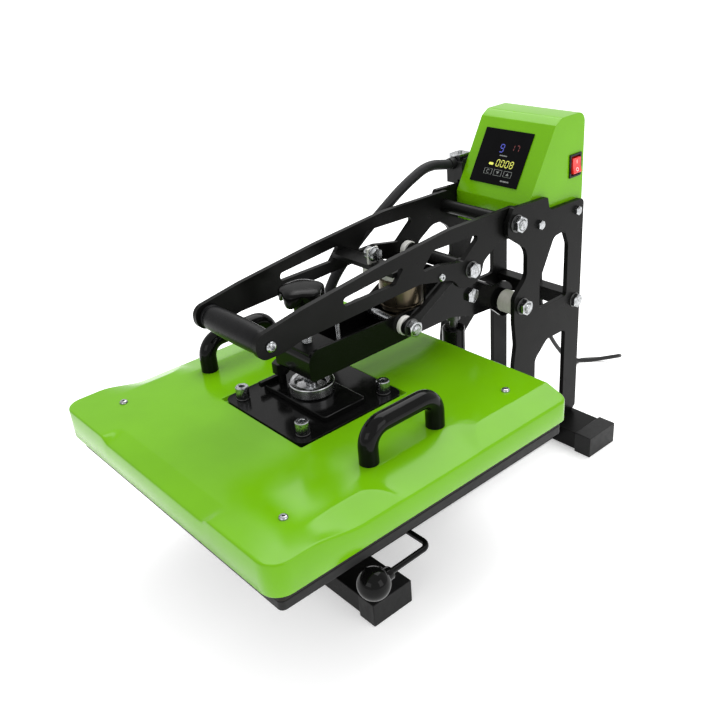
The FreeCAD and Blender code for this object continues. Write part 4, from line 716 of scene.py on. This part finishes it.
knob = Shape()
rings(knob, (*SCREW_AXIS, KNOB_FOOT), "z", [
    (6.1, 0), (9.2, 0), (10, 0.8), (10, 26), (11, 27.4), (star(14, 12.5), 28.4), (star(20, 14.5), 27.8),
    (star(21.4, 15.8), 26.8), (star(22.4, 17.2), skirt(0)), (star(23.2, 18.2), skirt(-0.5)),
    (star(24.4, 19.2), skirt(0.2)), (star(24.9, 19.8), skirt(1.6)), (star(25, 20.6), 28.6),
    (star(24.8, 21.4), 31), (star(24.2, 21.6), 32.8), (star(22.8, 20.8), 34.2), (star(20, 19), 35.3),
    (15, 36.1), (8, 36.5), (0, 36.7)], steps=160)
piece("star_knob", knob, "pressure_screw", [KNOB], ("pressure_knob",), sharp=50)

grip = Shape()
GRIP_STEPS = 24
profile = [(8, 0), (12.2, 0), (13, 0.8), (13, 3.4), (12.4, 4.2)]
for number in range(GRIP_STEPS + 1):
    along = 5 + 89 * number / GRIP_STEPS
    profile.append((12.7 + 1.25 * math.sin(math.pi * number / GRIP_STEPS) ** 0.6, along))
profile += [(12.4, 94.8), (13, 95.6), (13, 98.2), (12.2, 99), (8, 99)]
rings(grip, (-GRIP_END, *GRIP_AXIS), "x", profile, steps=64)
piece("soft_grip", grip, "handle", [GRIP], ("handle_grip",))


def tube(shape, path, radius, steps):
    """A round closed tube along close points."""
    points = [Vector(p) for p in path]
    up = Vector((0, 0, 1)) if abs((points[1] - points[0]).normalized().z) < 0.9 else Vector((1, 0, 0))
    verts = []
    for number, point in enumerate(points):
        before = points[max(0, number - 1)]
        after = points[min(len(points) - 1, number + 1)]
        way = (after - before).normalized()
        across = (up - way * up.dot(way)).normalized()
        up = across
        other = way.cross(across)
        for step in range(steps):
            angle = 2 * math.pi * step / steps
            verts.append(point + across * (radius * math.cos(angle)) + other * (radius * math.sin(angle)))
    faces = [tuple(range(steps)), tuple(range(len(verts) - steps, len(verts)))]
    for row in range(len(points) - 1):
        low = row * steps
        high = low + steps
        for step in range(steps):
            after = (step + 1) % steps
            faces.append((low + step, low + after, high + after, high + step))
    shape.add(verts, faces)


def quarter(corner, before, after, radius):
    """Points of the arc that rounds a right-angled corner."""
    steps = 10
    corner = Vector(corner)
    back = (Vector(before) - corner).normalized()
    ahead = (Vector(after) - corner).normalized()
    centre = corner + (back + ahead) * radius
    return [centre - ahead * (radius * math.cos(a)) - back * (radius * math.sin(a))
            for a in (math.pi / 2 * step / steps for step in range(steps + 1))]


HANDLE_X = 140.3
HANDLE_FRONT = -41.5
HANDLE_REAR = 47.7
HANDLE_BAR = 229.7
HANDLE_BEND = 20
HANDLE_RADIUS = 10
HANDLE_LEGS = (COVER_TOP, 196, 200, 204, 207)
bar_front = HANDLE_FRONT + HANDLE_BEND
bar_length = HANDLE_REAR - HANDLE_BEND - bar_front
handles = Shape()
for side in SIDES:
    x = side * HANDLE_X
    upper_front = (x, HANDLE_FRONT, HANDLE_BAR)
    upper_rear = (x, HANDLE_REAR, HANDLE_BAR)
    tube(handles, [
        *[(x, HANDLE_FRONT, z) for z in HANDLE_LEGS],
        *quarter(upper_front, (x, HANDLE_FRONT, COVER_TOP), upper_rear, HANDLE_BEND),
        *[(x, bar_front + bar_length * step / 8, HANDLE_BAR) for step in range(1, 8)],
        *quarter(upper_rear, upper_front, (x, HANDLE_REAR, COVER_TOP), HANDLE_BEND),
        *[(x, HANDLE_REAR, z) for z in reversed(HANDLE_LEGS)]], HANDLE_RADIUS, steps=40)
piece("side_handle_tubes", handles, "upper_platen", [PHENOLIC], ("side_handles",),
      sharp=60)

BALL_CENTRE = (200, -96.5, 116)
BALL_RADIUS = 16
ball = Shape()
rings(ball, BALL_CENTRE, "y", [
    (0, -BALL_RADIUS),
    *[(BALL_RADIUS * math.cos(a), BALL_RADIUS * math.sin(a)) for a in map(math.radians, range(-84, 66, 6))],
    (6.6, 14.6), (6.5, 20.4), (5.9, 21), (3.15, 21), (3.15, 4), (0, 4)], steps=64)
piece("round_ball", ball, "lock_lever", [PHENOLIC], ("lever_ball",), sharp=60)


# Rocker with its ring and bar marks

rounded_copy("rocker_switch", 0.5, SWITCH_RED)
ROCKER_Y = 380
ROCKER_FACE = 59.48
MARK_STEPS = 24
TILT_LOW = Vector((61.4, 0, 358.4))
TILT_HIGH = Vector((59.4, 0, 367.6))


def on_rocker(y, up):
    """A point just over the rocker's raised lower half; up runs from its lower edge to its middle."""
    point = TILT_LOW + (TILT_HIGH - TILT_LOW) * up
    return Vector((point.x + 0.06, ROCKER_Y + y, point.z))


def mark_ring(across, up):
    """Points of an oval round the middle of the rocker's lower half."""
    angles = [2 * math.pi * i / MARK_STEPS for i in range(MARK_STEPS)]
    return [on_rocker(across * math.cos(a), 0.5 + up * math.sin(a)) for a in angles]


mark = Shape()
mark.add(mark_ring(2.3, 0.25) + mark_ring(1.6, 0.17), [
    (i, (i + 1) % MARK_STEPS, MARK_STEPS + (i + 1) % MARK_STEPS, MARK_STEPS + i) for i in range(MARK_STEPS)])
mark.add([(ROCKER_FACE, ROCKER_Y + y, z) for y, z in ((-0.4, 370), (0.4, 370), (0.4, 374.5), (-0.4, 374.5))],
         [(0, 1, 2, 3)])
piece("rocker_mark", mark, "rocker", [WHITE_MARK])


# Cover of the upper platen

COVER_HALF = 197.5
COVER_FRONT = -200.0
COVER_REAR = 190.0
INSET = 20  # width of the rim, whose loops follow the rounded corners
CORNER_STEPS = 8
EDGE_ROUND = 2.2
BEVEL = 11  # drop of the bevelled sides at the outline
CORNER_BREAK = 168  # where the bevel starts towards the corners
BAND_BREAK = 150  # where it starts beside the handles
BAND_FRONT = -64
BAND_REAR = 68
SLOPE_FRONT = -177
SEAT_HALF = 71  # the sunk seat of the mounting plate
SEAT_FRONT = -70
SEAT_REAR = 73
SEAT_DROP = 5


def step_between(low, high, value):
    """A smooth step from 0 at low to 1 at high."""
    share = min(1.0, max(0.0, (value - low) / (high - low)))
    return share * share * (3 - 2 * share)


def inside_range(low, high, value, soft):
    """1 between low and high, 0 outside, with smooth ends."""
    return step_between(low - soft, low + soft, value) * (1 - step_between(high - soft, high + soft, value))


def cover_height(x, y):
    """Top of the cover: a seat for the plate, bevelled sides and a sloped front middle."""
    seat = inside_range(-SEAT_HALF, SEAT_HALF, x, 0.8) * inside_range(SEAT_FRONT, SEAT_REAR, y, 0.8)
    band = inside_range(BAND_FRONT, BAND_REAR, y, 20)
    corner = BEVEL * max(0.0, abs(x) - CORNER_BREAK) / (COVER_HALF - CORNER_BREAK)
    corner *= step_between(-160, -96, y)
    hollow = BEVEL * max(0.0, abs(x) - BAND_BREAK) / (COVER_HALF - BAND_BREAK) * band
    slope = 0.25 * max(0.0, SLOPE_FRONT - y) * (1 - step_between(90, 104, abs(x)))
    side = COVER_TOP - math.hypot(max(corner, hollow), 0.6) + 0.6
    return min(COVER_TOP - SEAT_DROP * seat, side) - slope


def edge_lines(low, high, marks):
    """Grid lines between two limits, close together near the marks."""
    lines = [low]
    while lines[-1] < high - 0.01:
        near = min(abs(lines[-1] + 1 - mark) for mark in marks)
        lines.append(min(high, lines[-1] + (1.2 if near < 7 else 5)))
    return lines


def skin(loops, closed):
    """Faces between neighbouring loops of equal length, numbered from 0."""
    count = len(loops[0])
    return [(row * count + i, row * count + (i + 1) % count,
             (row + 1) * count + (i + 1) % count, (row + 1) * count + i)
            for row in range(len(loops) - 1) for i in range(count if closed else count - 1)]


xs = edge_lines(INSET - COVER_HALF, COVER_HALF - INSET, (
    -CORNER_BREAK, -BAND_BREAK, -97, -SEAT_HALF, SEAT_HALF, 97, BAND_BREAK, CORNER_BREAK))
ys = edge_lines(COVER_FRONT + INSET, COVER_REAR - INSET, (SLOPE_FRONT, -120, -70, -58, 62, 73))
cover = Shape()
rows = [[(x, y, cover_height(x, y)) for x in xs] for y in ys]
cover.add([point for row in rows for point in row], skin(rows, False))


def cover_outline(inset):
    """The cover's outline at an inset, with the same points at every inset."""
    low_x, high_x = inset - COVER_HALF, COVER_HALF - inset
    low_y, high_y = COVER_FRONT + inset, COVER_REAR - inset
    points = []
    for (cx, cy), corner, start, line in (
            ((high_x, low_y), 20, -90, [(x, low_y) for x in xs[1:-1]]),
            ((high_x, high_y), 10, 0, [(high_x, y) for y in ys[1:-1]]),
            ((low_x, high_y), 10, 90, [(x, high_y) for x in reversed(xs[1:-1])]),
            ((low_x, low_y), 20, 180, [(low_x, y) for y in reversed(ys[1:-1])])):
        points += line
        radius = max(0.0, corner - inset)
        shift = INSET - inset - radius
        inner_x = math.copysign(COVER_HALF - INSET, cx) + math.copysign(shift, cx)
        inner_y = (COVER_FRONT + INSET - shift) if cy == low_y else (COVER_REAR - INSET + shift)
        for step in range(CORNER_STEPS + 1):
            angle = math.radians(start + 90 * step / CORNER_STEPS)
            points.append((inner_x + radius * math.cos(angle), inner_y + radius * math.sin(angle)))
    return points


loops = []
for inset in (INSET, 17, 14, 11, 9, 7, 5, 3.5, EDGE_ROUND):
    loops.append([(x, y, cover_height(x, y)) for x, y in cover_outline(inset)])
for turn in range(1, 7):
    angle = math.radians(15 * turn)
    outline = cover_outline(EDGE_ROUND * (1 - math.sin(angle)))
    loops.append([(x, y, cover_height(x, y) - EDGE_ROUND * (1 - math.cos(angle))) for x, y in outline])
for inset, z in ((0, 159), (0.5, 158.2), (1.2, 158), (2.0, 158.2), (2.4, 159), (2.4, 180), (INSET, 180)):
    loops.append([(x, y, z) for x, y in cover_outline(inset)])
cover.add([point for loop in loops for point in loop], skin(loops, True))
piece("pressed_cover", cover, "upper_platen", [GREEN], ("upper_platen_cover",),
      sharp=60)


# Display, placed by (x, up) on the sloped face

FACE_LOW = (294.1, 339)
FACE_HIGH = (341.6, 421.5)
FACE_TILT = math.atan2(FACE_HIGH[0] - FACE_LOW[0], FACE_HIGH[1] - FACE_LOW[1])
FACE_UP = Vector((0, math.sin(FACE_TILT), math.cos(FACE_TILT)))
FACE_OUT = Vector((0, -math.cos(FACE_TILT), math.sin(FACE_TILT)))
FACE_FOOT = Vector((0, 283.736, 321))
SEGMENTS = {"0": "abcdef", "1": "bc", "7": "abc", "8": "abcdefg", "9": "abcdfg"}


def on_panel(x, up):
    """A point just over the glass."""
    return FACE_FOOT + Vector((x, 0, 0)) + FACE_UP * up + FACE_OUT * 1.56


def flat(shape, outline):
    """A thin sheet on the glass from (x, up) corners."""
    verts = [on_panel(x, up) for x, up in outline]
    shape.add(verts, [tuple(range(len(verts)))])


def bar(shape, start, end, thick):
    """A pointed display segment."""
    a = Vector(start)
    b = Vector(end)
    way = (b - a).normalized()
    side = Vector((-way.y, way.x)) * (thick / 2)
    flat(shape, [a, a + way * thick / 2 + side, b - way * thick / 2 + side, b, b - way * thick / 2 - side,
                 a + way * thick / 2 - side])


def digit(shape, text, x, up, width, height, thick):
    """A leaning seven-segment digit."""
    lean = 0.08 * height
    corner = lambda column, row: (x + column * width + lean * row / 2, up + row * height / 2)
    ends = {"a": ((0, 2), (1, 2)), "b": ((1, 2), (1, 1)), "c": ((1, 1), (1, 0)), "d": ((0, 0), (1, 0)),
            "e": ((0, 1), (0, 0)), "f": ((0, 2), (0, 1)), "g": ((0, 1), (1, 1))}
    for name in SEGMENTS[text]:
        start, end = [Vector(corner(*spot)) for spot in ends[name]]
        gap = (end - start).normalized() * 0.25
        bar(shape, start + gap, end - gap, thick)


def oval(shape, x, up, width, height):
    """A filled bar with round ends."""
    half = height / 2
    steps = 20
    points = []
    for end, start in ((x + width - half, -90), (x + half, 90)):
        for i in range(steps + 1):
            angle = math.radians(start + 180 * i / steps)
            points.append((end + half * math.cos(angle), up + half + half * math.sin(angle)))
    flat(shape, points)


def box(shape, x, up, width, height):
    """A filled rectangle."""
    flat(shape, [(x, up), (x + width, up), (x + width, up + height), (x, up + height)])


numbers = Shape()
for place_number, text in enumerate("0008"):
    digit(numbers, text, -8.6 + 6.9 * place_number, 58.8, 4.2, 7.8, 0.95)
oval(numbers, -19.4, 59.2, 7, 3)
piece("display_numbers", numbers, "base", [DIGIT_YELLOW])
small_blue = Shape()
digit(small_blue, "9", -10, 76, 5, 9.2, 1.15)
piece("display_small_blue", small_blue, "base", [DIGIT_BLUE])
small_red = Shape()
digit(small_red, "1", 6, 79.4, 4, 7, 1.1)
digit(small_red, "7", 13.4, 79.4, 4, 7, 1.1)
piece("display_small_red", small_red, "base", [DIGIT_RED])

signs = Shape()
for x in (-23, -8, 7):
    box(signs, x, 47.4, 12, 0.5)
    box(signs, x, 54.4, 12, 0.5)
    box(signs, x, 47.4, 0.5, 7.5)
    box(signs, x + 11.5, 47.4, 0.5, 7.5)
flat(signs, [(-4.4, 52.8), (0.4, 52.8), (-2, 49.4)])
flat(signs, [(10.6, 49.6), (15.4, 49.6), (13, 53)])
ARC_PARTS = 20
for part in range(ARC_PARTS):
    first, last = (math.radians(40 + 280 * (part + step) / ARC_PARTS) for step in (0, 1))
    flat(signs, [(-17 + r * math.cos(a), 51.2 + r * math.sin(a))
                 for r, a in ((2.3, first), (2.3, last), (1.7, last), (1.7, first))])
flat(signs, [(-18.9, 53.4), (-17.3, 51.9), (-17.2, 54)])
for x, width in ((5.6, 3.2), (9.4, 5.4), (15.4, 3.0)):
    box(signs, x, 41.4, width, 1.7)
box(signs, -7.4, 71.4, 11.2, 1.2)
piece("display_signs", signs, "base", [KEY_WHITE])


# Setting

def softbox(name, spot, aim, width, depth, power):
    """A rectangular area light that looks at a point; its sides are in metres."""
    light = bpy.data.lights.new(name, "AREA")
    light.shape = "RECTANGLE"
    light.size = width
    light.size_y = depth
    light.energy = power
    made = bpy.data.objects.new(name, light)
    made.location = spot
    made.rotation_euler = (Vector(aim) - Vector(spot)).to_track_quat("-Z", "Y").to_euler()
    bpy.context.scene.collection.objects.link(made)
    return made


FLOOR = surface("pale_floor", (0.90, 0.90, 0.90), 0.6, tint=0.01, tint_size=400, glow=0.42)
FLOOR_HALF = 40
floor_mesh = bpy.data.meshes.new("floor")
floor_mesh.from_pydata([(x * FLOOR_HALF, y * FLOOR_HALF, 0) for x, y in ((-1, -1), (1, -1), (1, 1), (-1, 1))],
                       [], [(0, 1, 2, 3)])
floor_mesh.materials.append(FLOOR)
floor = bpy.data.objects.new("floor", floor_mesh)
bpy.context.scene.collection.objects.link(floor)
middle = (0, -0.05, 0.2)
overhead = softbox("overhead", (-0.5, 0.9, 2.1), middle, 2.2, 1.6, 42)
front = softbox("front", (0.6, -2.4, 1.3), middle, 1.6, 1.0, 9)
side = softbox("side", (2.4, 0.4, 1.2), middle, 1.2, 1.6, 14)
world = bpy.data.worlds.new("studio")
world.use_nodes = True
world.node_tree.nodes["Background"].inputs["Color"].default_value = (1, 1, 1, 1)
world.node_tree.nodes["Background"].inputs["Strength"].default_value = 0.9
bpy.context.scene.world = world
bpy.context.scene.view_settings.view_transform = "Standard"
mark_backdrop(floor, overhead, front, side)

{"cad": [list(corner) for corner in cad_box], "visual": [list(corner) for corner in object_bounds()]}
